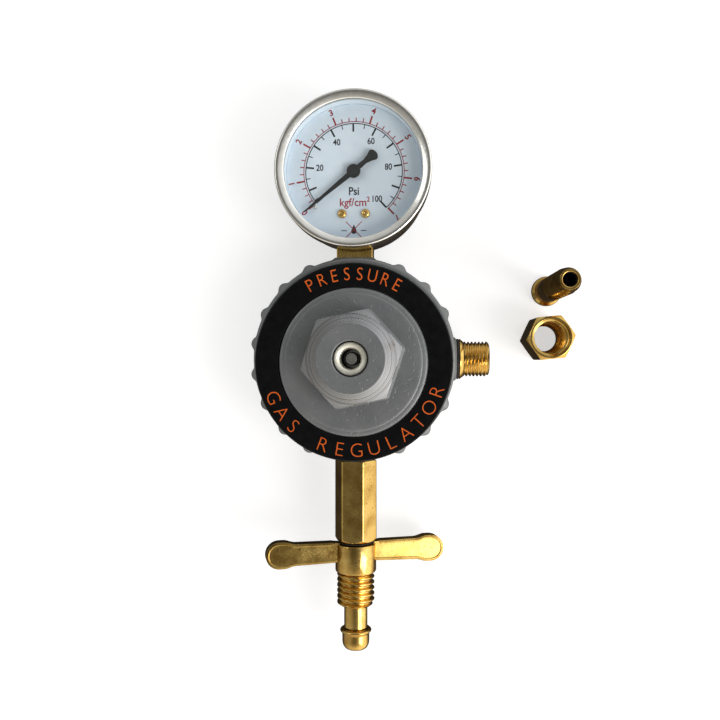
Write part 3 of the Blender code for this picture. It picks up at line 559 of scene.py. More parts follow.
def cone_height(radius):
    """Height of the turned cone over a radius."""
    for (r0, h0), (r1, h1) in zip(CONE, CONE[1:]):
        if radius <= r1:
            return BONNET.z1 + h0 + (h1 - h0) * (radius - r0) / (r1 - r0)
    return BONNET.z1 + CONE[-1][1]


def bonnet_shape(angle, r, z):
    """Turn the plain boss into a hexagon under a turned cone.

    A radius from 100 up is a mark: 100 to 101 runs down the cone, and 200 to 201 runs down the flats."""
    if r < 100:
        return r, z
    edge = hex_radius(angle, HEX_FLAT, HEX_TURN)
    if r < 150:
        radius = HEX_FACE_R + (edge - HEX_FACE_R) * (r - 100)
        return radius, cone_height(radius)
    share = r - 200
    top = cone_height(edge)
    foot = DISC_TOP + 0.02
    height = top + (foot - top) * share
    flare = 0.9 * smooth_step((share - 0.86) / 0.14) ** 2
    return edge + 0.02 + flare, height


def bonnet_piece():
    """Flange, front disc and hexagonal boss. The disc is concentric with the name ring."""
    top = BONNET.z1
    outline = [(BORE_R, 30.0), (BORE_R, top - 0.35), (BORE_R + 0.35, top), (HEX_FACE_R - 0.3, top)]
    outline += [(100 + s, 0.0) for s in spread(0.0, 1.0, 26)]
    outline += [(200 + s, 0.0) for s in spread(0.02, 1.0, 22)]
    outline += [(16.0, 30.0)]
    bm = lathe(outline, 360, bonnet_shape)
    flange = [(24.0, 25.0), (30.9, 25.0), (30.9, BODY.z1), (12.0, BODY.z1), (12.0, BODY.z1 - 0.4),
              (24.0, 27.6)]
    pour(bm, lathe(flange, 192))
    low = BODY.z1 - 0.2
    disc = [(9.0, low), (DISC_R + 0.35, low), (DISC_R + 0.35, DISC_TOP - 1.9),
            (DISC_R + 0.2, DISC_TOP - 1.75), (DISC_R, DISC_TOP - 1.5), (DISC_R, DISC_TOP - 1.0),
            (DISC_R - 0.06, DISC_TOP - 0.55), (DISC_R - 0.35, DISC_TOP - 0.4),
            (DISC_R - 0.9, DISC_TOP - 0.3), (DISC_R - 1.7, DISC_TOP - 0.28),
            (DISC_R - 1.85, DISC_TOP - 0.12), (DISC_R - 2.2, DISC_TOP - 0.02), (DISC_R - 3.0, DISC_TOP),
            (9.0, DISC_TOP)]
    pour(bm, lathe(disc, 288), Matrix.Translation((RING.cx, RING.cy, 0.0)))
    piece("bonnet_fine", bm, BONNET_GREY, "root", replaces=("bonnet",))


bonnet_piece()


# ---- name ring and its print -----------------------------------------------------------

CAPITAL_SHARE = 0.73                # height of a capital letter over the font's size
RING_INNER_R = 27.5
RING_EDGE_R = 0.55
LOWER_WORD = ("GAS REGULATOR", 32.3, 204.0, 340.6)      # text, radius, first and last letter's angle
UPPER_WORD = ("PRESSURE", 31.9, 119.5, 60.5)


def glyphs(target, text, size, place, turn=0.0, weight=0.0, thickness=0.03, width=1.0):
    """Add a line of text to a bmesh as thin solid letters. size is the height of a capital."""
    curve = bpy.data.curves.new("letters", "FONT")
    curve.body = text
    curve.size = size / CAPITAL_SHARE
    curve.align_x = "CENTER"
    curve.align_y = "CENTER"
    curve.offset = weight
    curve.extrude = thickness / 2
    curve.resolution_u = 4
    holder = bpy.data.objects.new("letters", curve)
    bpy.context.scene.collection.objects.link(holder)
    bpy.context.view_layer.update()
    evaluated = holder.evaluated_get(bpy.context.evaluated_depsgraph_get())
    mesh = bpy.data.meshes.new_from_object(evaluated)
    matrix = (Matrix.Translation(place) @ Matrix.Rotation(radians(turn), 4, "Z")
              @ Matrix.Diagonal((width, 1.0, 1.0, 1.0)))
    mesh.transform(matrix)
    target.from_mesh(mesh)
    bpy.data.objects.remove(holder)
    bpy.data.curves.remove(curve)
    bpy.data.meshes.remove(mesh)


def ring_piece():
    """Gloss ring with a rolled edge, and its two generic words in orange."""
    low, high = RING.z0, RING.z1
    outer = RING.sx / 2
    inner = RING_INNER_R
    edge = RING_EDGE_R
    outline = [(inner, low), (outer - 0.25, low), (outer - 0.02, low + 0.25), (outer - 0.02, high - edge)]
    outline += [(outer - 0.02 - edge * (1 - cos(radians(a))), high - edge + edge * sin(radians(a)))
                for a in range(15, 91, 15)]
    outline += [(inner + 0.4, high), (inner + 0.1, high - 0.12), (inner, high - 0.4)]
    piece("name_ring_fine", lathe(outline, 256), RING_BLACK, "root", (RING.cx, RING.cy, 0.0),
          replaces=("name_ring",))
    print_z = high + 0.015
    letters = bmesh.new()
    word, reach, first, last = LOWER_WORD
    for letter, angle in zip(word, spread(first, last, len(word))):
        x, y = polar(reach, angle, (RING.cx, RING.cy))
        glyphs(letters, letter, 5.4, (x, y, print_z), angle + 90, -0.14, width=0.98)
    word, reach, first, last = UPPER_WORD
    for letter, angle in zip(word, spread(first, last, len(word))):
        x, y = polar(reach, angle, (RING.cx, RING.cy))
        glyphs(letters, letter, 4.9, (x, y, print_z), angle - 90, -0.06, width=0.84)
    piece("ring_lettering", letters, ORANGE, "root")


ring_piece()


# ---- adjusting screw ---------------------------------------------------------------------

def screw_pieces():
    """Hollow threaded screw, a near-black sleeve in its bore as painted shade, and the pin end that shows in
    it.
    """
    top = SCREW.z1
    radius = SCREW.sx / 2
    outline = [(3.55, SCREW.z0), (radius - 0.8, SCREW.z0), (radius - 0.02, SCREW.z0 + 0.8)]
    outline += thread_rows(radius - 0.02, 1.5, SCREW.z0 + 0.9, top - 1.0)
    outline += [(radius - 0.02, top - 0.5), (radius - 0.12, top - 0.15), (radius - 0.4, top),
                (5.3, top - 0.03), (4.9, top - 0.12), (4.2, top - 0.4), (3.8, top - 0.7), (3.6, top - 1.2),
                (3.55, top - 1.8), (3.55, top - 2.6)]
    shape = thread_shape(radius - 0.02, 0.7, 1.5, SCREW.z0 + 0.9, top - 1.0)
    piece("adjusting_screw_fine", lathe(outline, 128, shape), SCREW_ZINC, "screw",
          replaces=("adjusting_screw",))
    bore = [(3.35, SCREW.z0), (3.52, SCREW.z0), (3.52, top - 2.7), (3.35, top - 2.7)]
    # A near-black sleeve just inside the screw's bore: painted shade.
    piece("adjusting_screw_bore_shade", lathe(bore, 64), BORE_PAINTED_SHADE, "screw")
    cap = [(0.0, PIN.z1 - 4.0), (2.25, PIN.z1 - 4.0), (2.28, PIN.z1 - 0.35), (2.0, PIN.z1 - 0.08),
           (1.2, PIN.z1 - 0.02), (0.0, PIN.z1 - 0.02)]
    shift = 0.02
    sleeve = lathe([(r + shift if r else 0.0, z + 0.01) for r, z in soften(cap, 0.3)], 64)
    piece("diaphragm_stem_end", sleeve, PIN_STEEL, "diaphragm_stack")


screw_pieces()


# ---- inlet stem, nose and hand nut -----------------------------------------------------------

STEM_FLAT = 7.0
STEM_TURN = 6.0
HEX_START = 38.3
HEX_END = 69.0


def stem_shape(angle, r, z):
    """Turn the marked rows into a hexagon with turned chamfers at both ends."""
    if r < 100:
        return r, z
    edge = hex_radius(angle, STEM_FLAT, STEM_TURN, 0.12)
    chamfer = min((z - HEX_START) * 3.0 + 0.9, (HEX_END - z) * 1.1) + STEM_FLAT - 0.3
    return min(edge, chamfer), z


def stem_pieces():
    """Hexagonal stem with its neck, the washer behind it, and the rounded nose."""
    end = -STEM.y0
    start = -STEM.y1
    outline = [(2.0, start), (5.4, start), (5.68, start + 0.3), (5.68, HEX_START)]
    outline += [(100.0, z) for z in spread(HEX_START, HEX_START + 1.4, 8)]
    outline += [(100.0, z) for z in spread(HEX_START + 3, HEX_END - 2.2, 4)]
    outline += [(100.0, z) for z in spread(HEX_END - 1.6, HEX_END, 10)]
    outline += [(4.9, HEX_END), (4.45, HEX_END + 0.25), (4.44, HEX_END + 1.0), (4.44, 85.0), (4.44, 101.6),
                (4.3, 101.8), (2.98, 101.8), (2.98, end), (2.0, end)]
    port = (0.0, 0.0, PORT_Z)
    piece("inlet_stem_fine", lathe(outline, 192, stem_shape), BRASS_Y, "root", port, ALONG_INLET,
          replaces=("inlet_stem",))
    washer = [(6.0, 37.7), (7.3, 37.7), (7.3, HEX_START - 0.1), (6.0, HEX_START - 0.1)]
    piece("stem_washer_fine", lathe(soften(washer, 0.1, 2), 96), RUBBER, "root", port, ALONG_INLET,
          replaces=("stem_washer",))
    tip = -NOSE.y0
    collar = -NOSE.y1
    nose = [(1.82, tip - 0.3), (1.82, collar + 4.5), (3.28, collar + 4.4), (3.28, collar + 0.1),
            (4.7, collar + 0.02), (5.25, collar + 0.12), (5.75, collar + 0.35), (5.98, collar + 0.75),
            (5.94, collar + 1.1), (5.6, collar + 1.45), (5.24, collar + 1.75), (5.16, collar + 2.1),
            (5.16, tip - 3.2), (5.1, tip - 2.4), (4.9, tip - 1.6), (4.55, tip - 0.9), (4.05, tip - 0.35),
            (3.5, tip - 0.05), (3.0, tip), (2.1, tip)]
    piece("inlet_nose_fine", lathe(soften(nose, 0.25), 144), BRASS_Y, "root", port, ALONG_INLET,
          replaces=("inlet_nose",))


stem_pieces()

HUB_START = 69.9
HUB_END = 81.2
HUB_R = 7.78
WING_ALONG = 73.0
NUT_PITCH = 25.4 / 12
NUT_THREAD_R = 14.29 / 2
WING_TURN = 16.0


def nut_pieces():
    """Round hub with a left-hand thread, and two forged wings; the left wing gets a darker copy of the brass as
    painted shade.
    """
    end = -NUT.y0
    start = HUB_START
    hub_end = HUB_END
    root_r = NUT_THREAD_R - 1.15
    outline = [(4.75, end - 0.3), (4.75, start + 0.3), (5.0, start), (7.1, start),
               (HUB_R - 0.18, start + 0.2), (HUB_R, start + 0.7), (HUB_R, hub_end - 1.4),
               (HUB_R - 0.18, hub_end - 0.8), (root_r + 0.35, hub_end)]
    outline += thread_rows(NUT_THREAD_R - 0.03, NUT_PITCH, hub_end + 0.05, end - 0.9)
    outline += [(NUT_THREAD_R - 0.7, end - 0.55), (5.7, end), (5.0, end)]
    shape = thread_shape(NUT_THREAD_R - 0.03, 1.12, NUT_PITCH, hub_end - 0.8, end + 0.6, hand=-1)
    port = (0.0, 0.0, PORT_Z)
    piece("hand_nut_fine", lathe(outline, 160, shape), BRASS_Y, "hand_nut", port, ALONG_INLET,
          replaces=("hand_nut",))
    # The left wing's brass is a darker copy of the right wing's: painted shade.
    for side, word, finish in ((0.0, "right", BRASS_CAST), (180.0, "left", BRASS_SHADED_WING)):
        wing = wing_mesh()
        spin = Matrix.Rotation(radians(WING_TURN + side), 4, "Y")
        item = piece(f"hand_nut_wing_{word}", wing, finish, "hand_nut", (0.0, -WING_ALONG, PORT_Z), spin)
        bevelled(item, 0.35, 3, 25)


def wing_outline(grow=0.0):
    """One wing: a straight blade that ends in a round paddle."""
    disc_r = 5.0 + grow
    half = 4.05 + grow
    centre = 29.3
    flank = [(x, half + (disc_r - half) * smooth_step((x - centre + 6.2) / 4.4))
             for x in spread(23.0, 27.6, 9)]
    points = [(x, -h) for x, h in flank]
    points += [polar(disc_r, a, (centre, 0.0)) for a in spread(-88, 88, 21)]
    points += list(reversed(flank))
    points += [(9.2, half - 0.1), (8.4, 3.75), (6.6, 3.6), (6.6, -half + 0.6), (8.8, -half + 0.35)]
    return points


def wing_mesh():
    """Both faces of the wing are sunk a little inside a raised border."""
    half_t = 2.3
    bm = bmesh.new()
    outer = wing_outline()
    inner = wing_outline(-0.85)
    floor = wing_outline(-1.15)
    levels = [(inner, -half_t), (outer, -half_t + 0.25), (outer, half_t - 0.25), (inner, half_t)]
    rows = [[bm.verts.new((x, y, z)) for x, y in outline] for outline, z in levels]
    count = len(outer)
    for row, following in zip(rows, rows[1:]):
        for i in range(count):
            j = (i + 1) % count
            bm.faces.new((row[i], row[j], following[j], following[i]))
    for row, z in ((rows[0], -half_t + 0.22), (rows[-1], half_t - 0.22)):
        sunk = [bm.verts.new((x, y, z)) for x, y in floor]
        for i in range(count):
            j = (i + 1) % count
            bm.faces.new((row[i], row[j], sunk[j], sunk[i]))
        bm.faces.new(sunk)
    return bm


nut_pieces()


# ---- outlet nipple -----------------------------------------------------------------------------

OUTLET_PITCH = 25.4 / 19
OUTLET_R = 13.157 / 2


def outlet_piece():
    """Collar and male thread of the outlet."""
    end = OUTLET.x1
    start = OUTLET.x0
    collar = 38.9
    thread = 40.6
    outline = [(3.2, start), (5.3, start), (5.3, collar), (7.3, collar), (7.55, collar + 0.2),
               (7.5, collar + 0.45), (6.95, collar + 1.1), (6.7, thread - 0.25), (6.5, thread - 0.1),
               (OUTLET_R - 0.6, thread)]
    outline += thread_rows(OUTLET_R - 0.02, OUTLET_PITCH, thread + 0.1, end - 0.75, 12)
    outline += [(OUTLET_R - 0.45, end - 0.3), (5.68, end), (4.5, end), (3.6, end - 0.75), (3.2, end - 1.2)]
    shape = thread_shape(OUTLET_R - 0.02, 0.64, OUTLET_PITCH, thread - 0.4, end + 0.2, hand=-1)
    piece("outlet_nipple_fine", lathe(outline, 144, shape), BRASS_X, "root", (0.0, 0.0, PORT_Z), ALONG_OUTLET,
          replaces=("outlet_nipple",))


outlet_piece()


# ---- gauge ---------------------------------------------------------------------------------------

BEZEL_INNER = 25.15
SPAN = 277.5
ZERO = 229.5
POINTER_REST = 219.0
SCALE_R = 17.8
RED_R = 18.5
BLACK_MAJOR, BLACK_MINOR = (3.0, 0.66), (1.6, 0.34)     # length and width of a mark
RED_MAJOR, RED_MINOR = (3.0, 0.62), (1.5, 0.36)
RED_NUMERAL_R = RED_R + 4.8
PSI_PER_KGF = 14.2233
PSI_NUMERALS = [(20, -12.6, 1.6), (40, -6.3, 10.9), (60, 6.3, 11.1), (80, 12.7, 1.6), (100, 8.4, -10.1)]
PRINT_Z = DIAL.z1 + 0.012


def gauge_shell_pieces():
    """Bright bezel and dark case."""
    radius = BEZEL.sx / 2
    front = BEZEL.z1
    outline = [(27.7, BEZEL.z0), (radius - 0.35, BEZEL.z0), (radius - 0.02, BEZEL.z0 + 0.3)]
    outline += [(radius - 0.02 - 0.75 * (1 - cos(radians(a))), front - 0.8 + 0.75 * sin(radians(a)))
                for a in range(0, 76, 15)]
    outline += [(radius - 1.0, front - 0.05), (radius - 1.6, front - 0.18),
                (BEZEL_INNER + 0.4, front - 0.86), (BEZEL_INNER + 0.1, front - 1.0),
                (BEZEL_INNER, front - 1.15), (BEZEL_INNER, 32.72), (27.7, 32.72)]
    piece("gauge_bezel_fine", lathe(outline, 288), NICKEL, "root", GAUGE,
          replaces=("gauge_bezel",))
    case_r = CASE.sx / 2
    back = CASE.z0
    shell = [(0.0, back + 0.5), (6.0, back + 0.5), (6.5, back + 0.02), (20.0, back + 0.02),
             (22.5, back + 0.02), (case_r - 1.5, back + 0.1), (case_r - 0.45, back + 0.55),
             (case_r - 0.03, back + 1.6), (case_r - 0.03, CASE.z1), (case_r - 1.2, CASE.z1),
             (case_r - 1.2, back + 1.3), (0.0, back + 1.3)]
    piece("gauge_case_fine", lathe(soften(shell, 0.3), 224), CASE_PAINT, "root", GAUGE,
          replaces=("gauge_case",))


def socket_piece():
    """Brass block between the gauge and the body, joined to a narrower block that runs on into the gauge."""
    half = SOCKET.sx / 2 - 0.02
    start = SOCKET.y0
    bm = prism([(-half, start), (half, start), (half, 45.0), (-half, 45.0)], PORT_Z - half, PORT_Z + half)
    pour(bm, prism([(-6.45, 43.95), (6.45, 43.95), (6.45, 54.4), (-6.45, 54.4)], 9.6, 26.1))
    item = piece("gauge_socket_fine", bm, BRASS_CAST, "root", replaces=("gauge_socket",))
    bevelled(item, 0.3, 2)


def arc_band(bm, inner, outer, start, end, low, high):
    """A thin raised band along an arc, as a closed solid."""
    steps = max(2, ceil(abs(end - start) / 2))
    angles = spread(start, end, steps + 1)
    section = ((inner, low), (outer, low), (outer, high), (inner, high))
    spots = [[bm.verts.new((*polar(r, a), z)) for r, z in section] for a in angles]
    for row, following in zip(spots, spots[1:]):
        for i in range(4):
            j = (i + 1) % 4
            bm.faces.new((row[i], row[j], following[j], following[i]))
    bm.faces.new(spots[0])
    bm.faces.new(spots[-1])


def tick(bm, angle, inner, outer, width, low, high):
    """A straight mark that points to the dial's centre."""
    half = width / 2
    outline = [(inner, -half), (outer, -half), (outer, half), (inner, half)]
    pour(bm, prism(outline, low, high), Matrix.Rotation(radians(angle), 4, "Z"))


def dial_print():
    """Both scales, their numerals, the unit names and the sign for a dry gauge."""
    low, high = PRINT_Z - 0.01, PRINT_Z + 0.012
    middle = (low + high) / 2
    black = bmesh.new()
    red = bmesh.new()
    arc_band(black, SCALE_R - 0.17, SCALE_R + 0.17, POINTER_REST, ZERO - SPAN, low, high)
    arc_band(red, RED_R - 0.14, RED_R + 0.14, POINTER_REST, ZERO - SPAN, low, high)
    for psi in range(0, 101, 5):
        angle = min(ZERO - SPAN * psi / 100, POINTER_REST)
        length, width = BLACK_MAJOR if psi % 10 == 0 else BLACK_MINOR
        tick(black, angle, SCALE_R - length, SCALE_R, width, low, high)
    for psi, x, y in PSI_NUMERALS:
        glyphs(black, str(psi), 2.35, (x, y, middle), 0.0, 0.07, 0.02, 0.84)
    for step in range(0, 36):
        kgf = step / 5
        angle = min(ZERO - SPAN * kgf * PSI_PER_KGF / 100, POINTER_REST)
        if angle < ZERO - SPAN - 0.5:
            break
        length, width = RED_MAJOR if step % 5 == 0 else RED_MINOR
        tick(red, angle, RED_R, RED_R + length, width, low, high)
        if step % 5 == 0:
            x, y = polar(RED_NUMERAL_R, angle)
            glyphs(red, str(step // 5), 2.3, (x, y, middle), angle - 90, 0.08, 0.02, 1.0)
    glyphs(black, "Psi", 3.0, (0.0, -7.2, middle), 0.0, 0.08, 0.02, 0.88)
    glyphs(red, "kgf/cm", 3.0, (-0.3, -11.3, middle), 0.0, 0.05, 0.02, 0.93)
    glyphs(red, "2", 1.9, (5.3, -10.2, middle), 0.0, 0.05, 0.02, 0.9)
    drop_mark(black, low, high)
    for turn in (45, -45):
        bar = prism([(-4.2, -0.14), (4.2, -0.14), (4.2, 0.14), (-4.2, 0.14)], low + 0.012, high + 0.012)
        pour(red, bar, Matrix.Translation((0.0, -21.2, 0.0)) @ Matrix.Rotation(radians(turn), 4, "Z"))
    piece("dial_print_black", black, PRINT_BLACK, "root", GAUGE)
    piece("dial_print_red", red, PRINT_RED, "root", GAUGE)


def drop_mark(bm, low, high):
    """A plain oil drop lying between two short strokes, as the sign for a dry gauge."""
    drop = [polar(1.0, a, (0.0, -21.8)) for a in spread(-205, 25, 17)] + [(0.0, -19.3)]
    pour(bm, prism(drop, low, high))
    for side in (-1, 1):
        x = side * 3.6
        stroke = [(x - 1.0, -21.7), (x + 1.0, -21.7), (x + 1.0, -21.4), (x - 1.0, -21.4)]
        pour(bm, prism(stroke, low, high))


def dial_piece():
    """Dial plate and its rim wall, shaft bush, two screws and the stop pin."""
    radius = DIAL.sx / 2
    low, high = DIAL.z0, DIAL.z1
    outline = [(2.2, low), (radius - 0.1, low), (radius, low + 0.1), (radius, high - 0.1),
               (radius - 0.1, high), (2.3, high), (2.2, high - 0.05)]
    piece("dial_fine", lathe(outline, 192), DIAL_PAINT, "root", GAUGE, replaces=("dial",))
    wall = [(radius + 0.05, low), (radius + 0.6, low), (radius + 0.6, WINDOW.z0 - 0.15),
            (radius + 0.15, WINDOW.z0 - 0.15), (radius + 0.05, WINDOW.z0 - 0.4)]
    piece("dial_wall", lathe(wall, 192), DIAL_PAINT, "root", GAUGE)
    hidden = [(0.0, low - 0.3), (2.15, low - 0.3), (2.15, low - 0.1), (0.0, low - 0.1)]
    piece("dial_bush", lathe(hidden, 48), BRASS_Z, "root", GAUGE)
    for word in ("left", "right"):
        spot = node_box(f"dial_screw_{word}")
        head_z = high + 0.3
        radius = spot.sx / 2 - 0.02
        head = [(0.0, head_z - 2), (0.65, head_z - 2), (0.65, head_z), (radius, head_z),
                (radius, head_z + 0.25), (radius - 0.25, head_z + 0.6), (radius - 0.8, head_z + 0.86),
                (0.62, head_z + 0.9), (0.55, head_z + 0.5), (0.0, head_z + 0.35)]
        piece(f"dial_screw_{word}_fine", lathe(soften(head, 0.15, 2), 48), BRASS_Z, "root",
              (spot.cx, spot.cy, 0.0), replaces=(f"dial_screw_{word}",))
    pin = node_box("stop_pin")
    shaft = [(0.0, pin.z0), (0.58, pin.z0), (0.58, pin.z1 - 0.3), (0.4, pin.z1 - 0.05), (0.0, pin.z1)]
    piece("stop_pin_fine", lathe(soften(shaft, 0.15, 2), 32), STEEL, "root", (pin.cx, pin.cy, 0.0),
          replaces=("stop_pin",))


def pointer_piece():
    """Tapered blade with a fan tail, and a domed hub button."""
    low = POINTER.z0 + 0.02
    tip = 23.6
    tail = [(-2.0, 1.0), (-5.4, 0.85), (-7.4, 1.35), (-9.2, 2.15)]
    fan = [polar(2.2, a, (-9.0, 0.0)) for a in spread(105, 255, 11)]
    fan = [(-9.0 + (x + 9.0) * 0.78, y) for x, y in fan]
    blade = [(-2.0, -1.0), (0.0, -1.1), (tip - 0.2, -0.26), (tip, 0.0), (tip - 0.2, 0.26), (0.0, 1.1)]
    bm = prism(tail + fan + [(x, -y) for x, y in reversed(tail)] + blade[1:], low, low + 0.45)
    hub = [(0.0, low - 0.02), (2.55, low - 0.02), (2.58, low + 0.42), (2.35, low + 0.56), (1.5, low + 0.58),
           (1.35, low + 0.5), (0.95, low + 0.5), (0.85, low + 0.57), (0.0, low + 0.58)]
    pour(bm, lathe(hub, 64))
    turn = Matrix.Rotation(radians(POINTER_REST), 4, "Z")
    item = piece("pointer_fine", bm, POINTER_PAINT, "pointer", GAUGE, turn,
                 replaces=("pointer",))
    bevelled(item, 0.08, 2, 40)


def window_piece():
    """Flat glass with softened edges."""
    radius = WINDOW.sx / 2 - 0.02
    outline = [(0.0, WINDOW.z0), (radius, WINDOW.z0), (radius, WINDOW.z1), (0.0, WINDOW.z1)]
    piece("gauge_window_fine", lathe(soften(outline, 0.15, 2), 128), GLASS, "root", GAUGE,
          replaces=("gauge_window",))


gauge_shell_pieces()
socket_piece()
dial_print()
dial_piece()
pointer_piece()
window_piece()


# ---- loose fittings --------------------------------------------------------------------------------

def union_nut_piece():
    """Hexagonal nut with a chamfered end, a shallow mouth and an internal thread."""
    height = UNION.z1
    flat = 8.0
    bore = 6.0
    turn = 5.5

    def shape(angle, r, z):
        if r >= 100:
            edge = hex_radius(angle, flat, turn, 0.12)
            cone = min((height - z) * 1.4 + flat - 0.35, z * 1.4 + flat - 0.1)
            return min(edge, cone), z
        if abs(r - bore) < 0.02 and 5.2 <= z <= height - 2.2:
            depth = 0.55 * tooth(z / OUTLET_PITCH - angle / 360.0) * smooth_step((z - 5.2) / 1.2)
            return r + depth, z
        return r, z

    outline = [(4.95, 0.3), (5.25, 0.0), (7.2, 0.0)]
    outline += [(100.0, z) for z in spread(0.0, 0.9, 6)]
    outline += [(100.0, z) for z in spread(3.0, height - 3.0, 4)]
    outline += [(100.0, z) for z in spread(height - 1.3, height - 0.05, 10)]
    outline += [(7.55, height - 0.02), (7.1, height), (6.95, height - 0.08), (6.8, height - 0.4),
                (6.78, height - 1.8), (6.5, height - 2.05), (bore, height - 2.15)]
    outline += [(bore, z) for z in reversed(spread(5.2, height - 2.2, 90))]
    outline += [(5.6, 4.6), (4.95, 4.1)]
    piece("union_nut_fine", lathe(outline, 192, shape), BRASS_Z, "union_nut", (UNION.cx, UNION.cy, 0.0),
          replaces=("union_nut",))


def hose_nipple_piece():
    """Plain shank with a foot flange, and a barbed tail around a bore lined in near-black as painted shade."""
    height = TAIL.z1
    bore = 2.52
    outline = [(bore, 0.2), (2.8, 0.0), (5.3, 0.0), (5.75, 0.5), (5.83, 1.0), (5.83, 2.2), (5.6, 2.7),
               (4.75, 3.6), (4.68, 4.4), (4.68, 19.6), (4.55, 20.2)]
    barb = 20.0
    while barb < height - 6.0:
        outline += [(3.45, barb + 0.3), (4.72, barb + 0.6), (4.76, barb + 0.85), (3.7, barb + 4.1)]
        barb += 4.4
    outline += [(3.45, barb + 0.3), (4.45, barb + 0.6), (4.45, barb + 0.9), (3.62, height - 0.35),
                (3.5, height), (2.75, height), (bore, height - 0.2)]
    shade_sleeve = [(bore - 0.12, 0.8), (bore - 0.02, 0.8), (bore - 0.02, height - 0.9),
             (bore - 0.12, height - 0.9)]
    place = (TAIL.cx, TAIL.cy, 0.0)
    # A near-black sleeve just inside the nipple's bore: painted shade.
    piece("hose_nipple_bore_shade", lathe(shade_sleeve, 64), BORE_PAINTED_SHADE, "hose_nipple", place)
    piece("hose_nipple_fine", lathe(soften(outline, 0.12, 2), 128), BRASS_Z, "hose_nipple", place,
          replaces=("hose_nipple",))


union_nut_piece()
hose_nipple_piece()


# ---- materials of the CAD nodes that stay ---------------------------------------------------------------

KEPT = {
    BRASS_Z: ["inlet_nozzle", "lever_bracket", "movement_back_plate", "movement_front_plate",
              "movement_pillar_left", "movement_pillar_right", "movement_pillar_lower", "bourdon_tube",
              "seat_holder", "pinion_shaft", "sector_gear", "tube_link", "bourdon_tip"],
    STEEL: ["diaphragm_slip_ring", "inlet_filter", "diaphragm_stem", "spring_plate", "diaphragm_nut",
            "spring_button", "valve_lever"],
    SPRING: ["lever_pin", "main_spring", "hairspring"],
    RUBBER: ["diaphragm", "thrust_washer", "blow_out_plug", "window_gasket", "seat_disc", "outlet_washer"],
}
for material, names in KEPT.items():
    for name in names:
        frame["nodes"][name].material_slots[0].material = material


# ---- floor, light and camera ------------------------------------------------------------------------------

WORLD_STRENGTH = 2.15
WALLS_BY_X = [(0.05, (0.27, 0.265, 0.255)), (0.5, (0.55, 0.54, 0.52)), (0.9, (1.0, 1.0, 1.0))]
WALLS_BY_Y = [(0.1, (1.0, 0.99, 0.97)), (0.9, (0.60, 0.62, 0.65))]
WALLS_BY_Z = [(0.0, (0.03, 0.025, 0.02)), (0.20, (0.10, 0.09, 0.075)), (0.32, (0.55, 0.52, 0.47)),
              (0.46, (1.0, 0.98, 0.95)), (0.74, (1.0, 1.0, 1.0)), (0.89, (0.55, 0.55, 0.55)),
              (0.97, (0.20, 0.20, 0.20)), (1.0, (0.15, 0.15, 0.15))]


def floor():
    """Plain pale paper that glows a little, so that it stays nearly white under the part."""
    bm = bmesh.new()
    bmesh.ops.create_grid(bm, x_segments=2, y_segments=2, size=3.0)
    mesh = bpy.data.meshes.new("studio_floor")
    bm.to_mesh(mesh)
    bm.free()
    item = bpy.data.objects.new("studio_floor", mesh)
    item.location.z = -0.05 * MM
    bpy.context.scene.collection.objects.link(item)
    s = Shader("studio_paper", roughness=0.85)
    s.link(s.ramp(s.noise(8, 2), [(0.3, (0.60, 0.60, 0.60)), (0.7, (0.62, 0.62, 0.62))]), "Base Color")
    s.set("Emission Color", (1.0, 1.0, 1.0, 1.0))
    s.set("Emission Strength", 0.6)
    mesh.materials.append(s.material)
    item.visible_glossy = False


def area_light(name, place, target, size, power, colour=(1.0, 1.0, 1.0)):
    """A soft box that faces its target."""
    data = bpy.data.lights.new(name, "AREA")
    data.shape = "RECTANGLE"
    data.size, data.size_y = size
    data.energy = power
    data.color = colour
    item = bpy.data.objects.new(name, data)
    item.location = place
    item.rotation_euler = (Vector(target) - Vector(place)).to_track_quat("-Z", "Y").to_euler()
    bpy.context.scene.collection.objects.link(item)


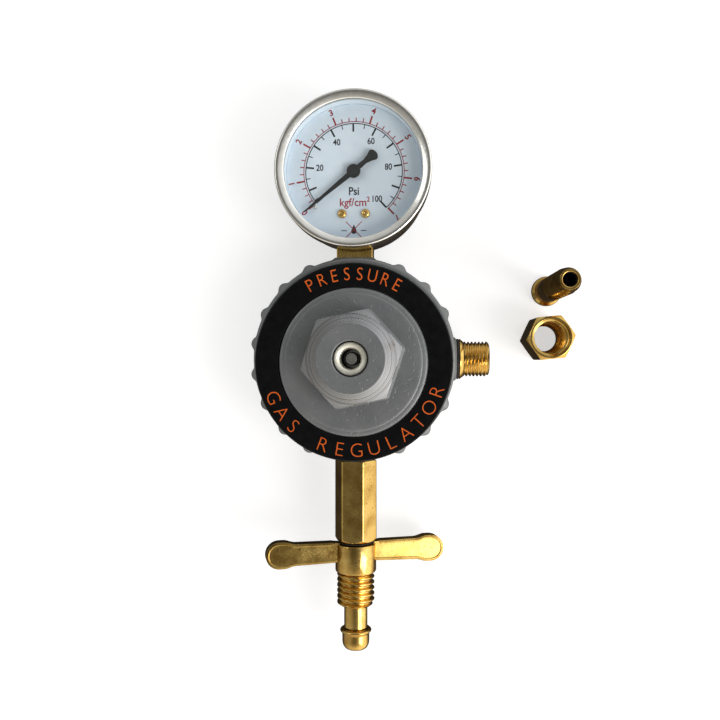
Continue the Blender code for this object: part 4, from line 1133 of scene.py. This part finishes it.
def world():
    """Soft room light: bright to the right and towards the inlet, dimmer to the left and overhead."""
    scene_world = bpy.data.worlds.new("studio")
    bpy.context.scene.world = scene_world
    scene_world.use_nodes = True
    s = SimpleNamespace(nodes=scene_world.node_tree.nodes, links=scene_world.node_tree.links)
    direction = s.nodes.new("ShaderNodeTexCoord").outputs["Generated"]
    split = s.nodes.new("ShaderNodeSeparateXYZ")
    s.links.new(direction, split.inputs["Vector"])

    def pattern(output, stops, low=-1.0):
        shift = s.nodes.new("ShaderNodeMapRange")
        shift.inputs["From Min"].default_value = low
        s.links.new(output, shift.inputs["Value"])
        ramp = s.nodes.new("ShaderNodeValToRGB")
        while len(ramp.color_ramp.elements) < len(stops):
            ramp.color_ramp.elements.new(0.5)
        for element, (position, colour) in zip(ramp.color_ramp.elements, stops):
            element.position = position
            element.color = (*colour, 1.0)
        s.links.new(shift.outputs["Result"], ramp.inputs["Fac"])
        return ramp.outputs["Color"]

    def product(first, second):
        node = s.nodes.new("ShaderNodeVectorMath")
        node.operation = "MULTIPLY"
        s.links.new(first, node.inputs[0])
        s.links.new(second, node.inputs[1])
        return node.outputs["Vector"]

    sideways = pattern(split.outputs["X"], WALLS_BY_X)
    lengthways = pattern(split.outputs["Y"], WALLS_BY_Y)
    upright = pattern(split.outputs["Z"], WALLS_BY_Z)
    background = s.nodes["Background"]
    s.links.new(product(product(sideways, lengthways), upright), background.inputs["Color"])
    background.inputs["Strength"].default_value = WORLD_STRENGTH


def camera():
    """Straight above the regulator, a little to its right, with the photograph's framing."""
    data = bpy.data.cameras.new("camera")
    data.lens = 37.5
    data.sensor_width = 36.0
    data.clip_start = 0.01
    item = bpy.data.objects.new("camera", data)
    place = Vector((20.5, -0.4, 302.0)) * MM
    aim = Vector((1.6, -0.4, 17.0)) * MM
    item.location = place
    back = (place - aim).normalized()
    right = Vector((0.0, 1.0, 0.0)).cross(back).normalized()
    item.rotation_euler = Matrix((right, back.cross(right), back)).transposed().to_euler()
    bpy.context.scene.collection.objects.link(item)
    bpy.context.scene.camera = item


floor()
world()
area_light("window_right", (0.60, -0.30, 0.55), (0.0, 0.0, 0.0), (0.35, 0.45), 2.6, (1.0, 0.99, 0.97))
area_light("fill_left", (-0.55, 0.30, 0.50), (0.0, 0.0, 0.0), (0.4, 0.3), 0.5, (0.95, 0.98, 1.0))
camera()
bpy.context.scene.view_settings.view_transform = "Standard"
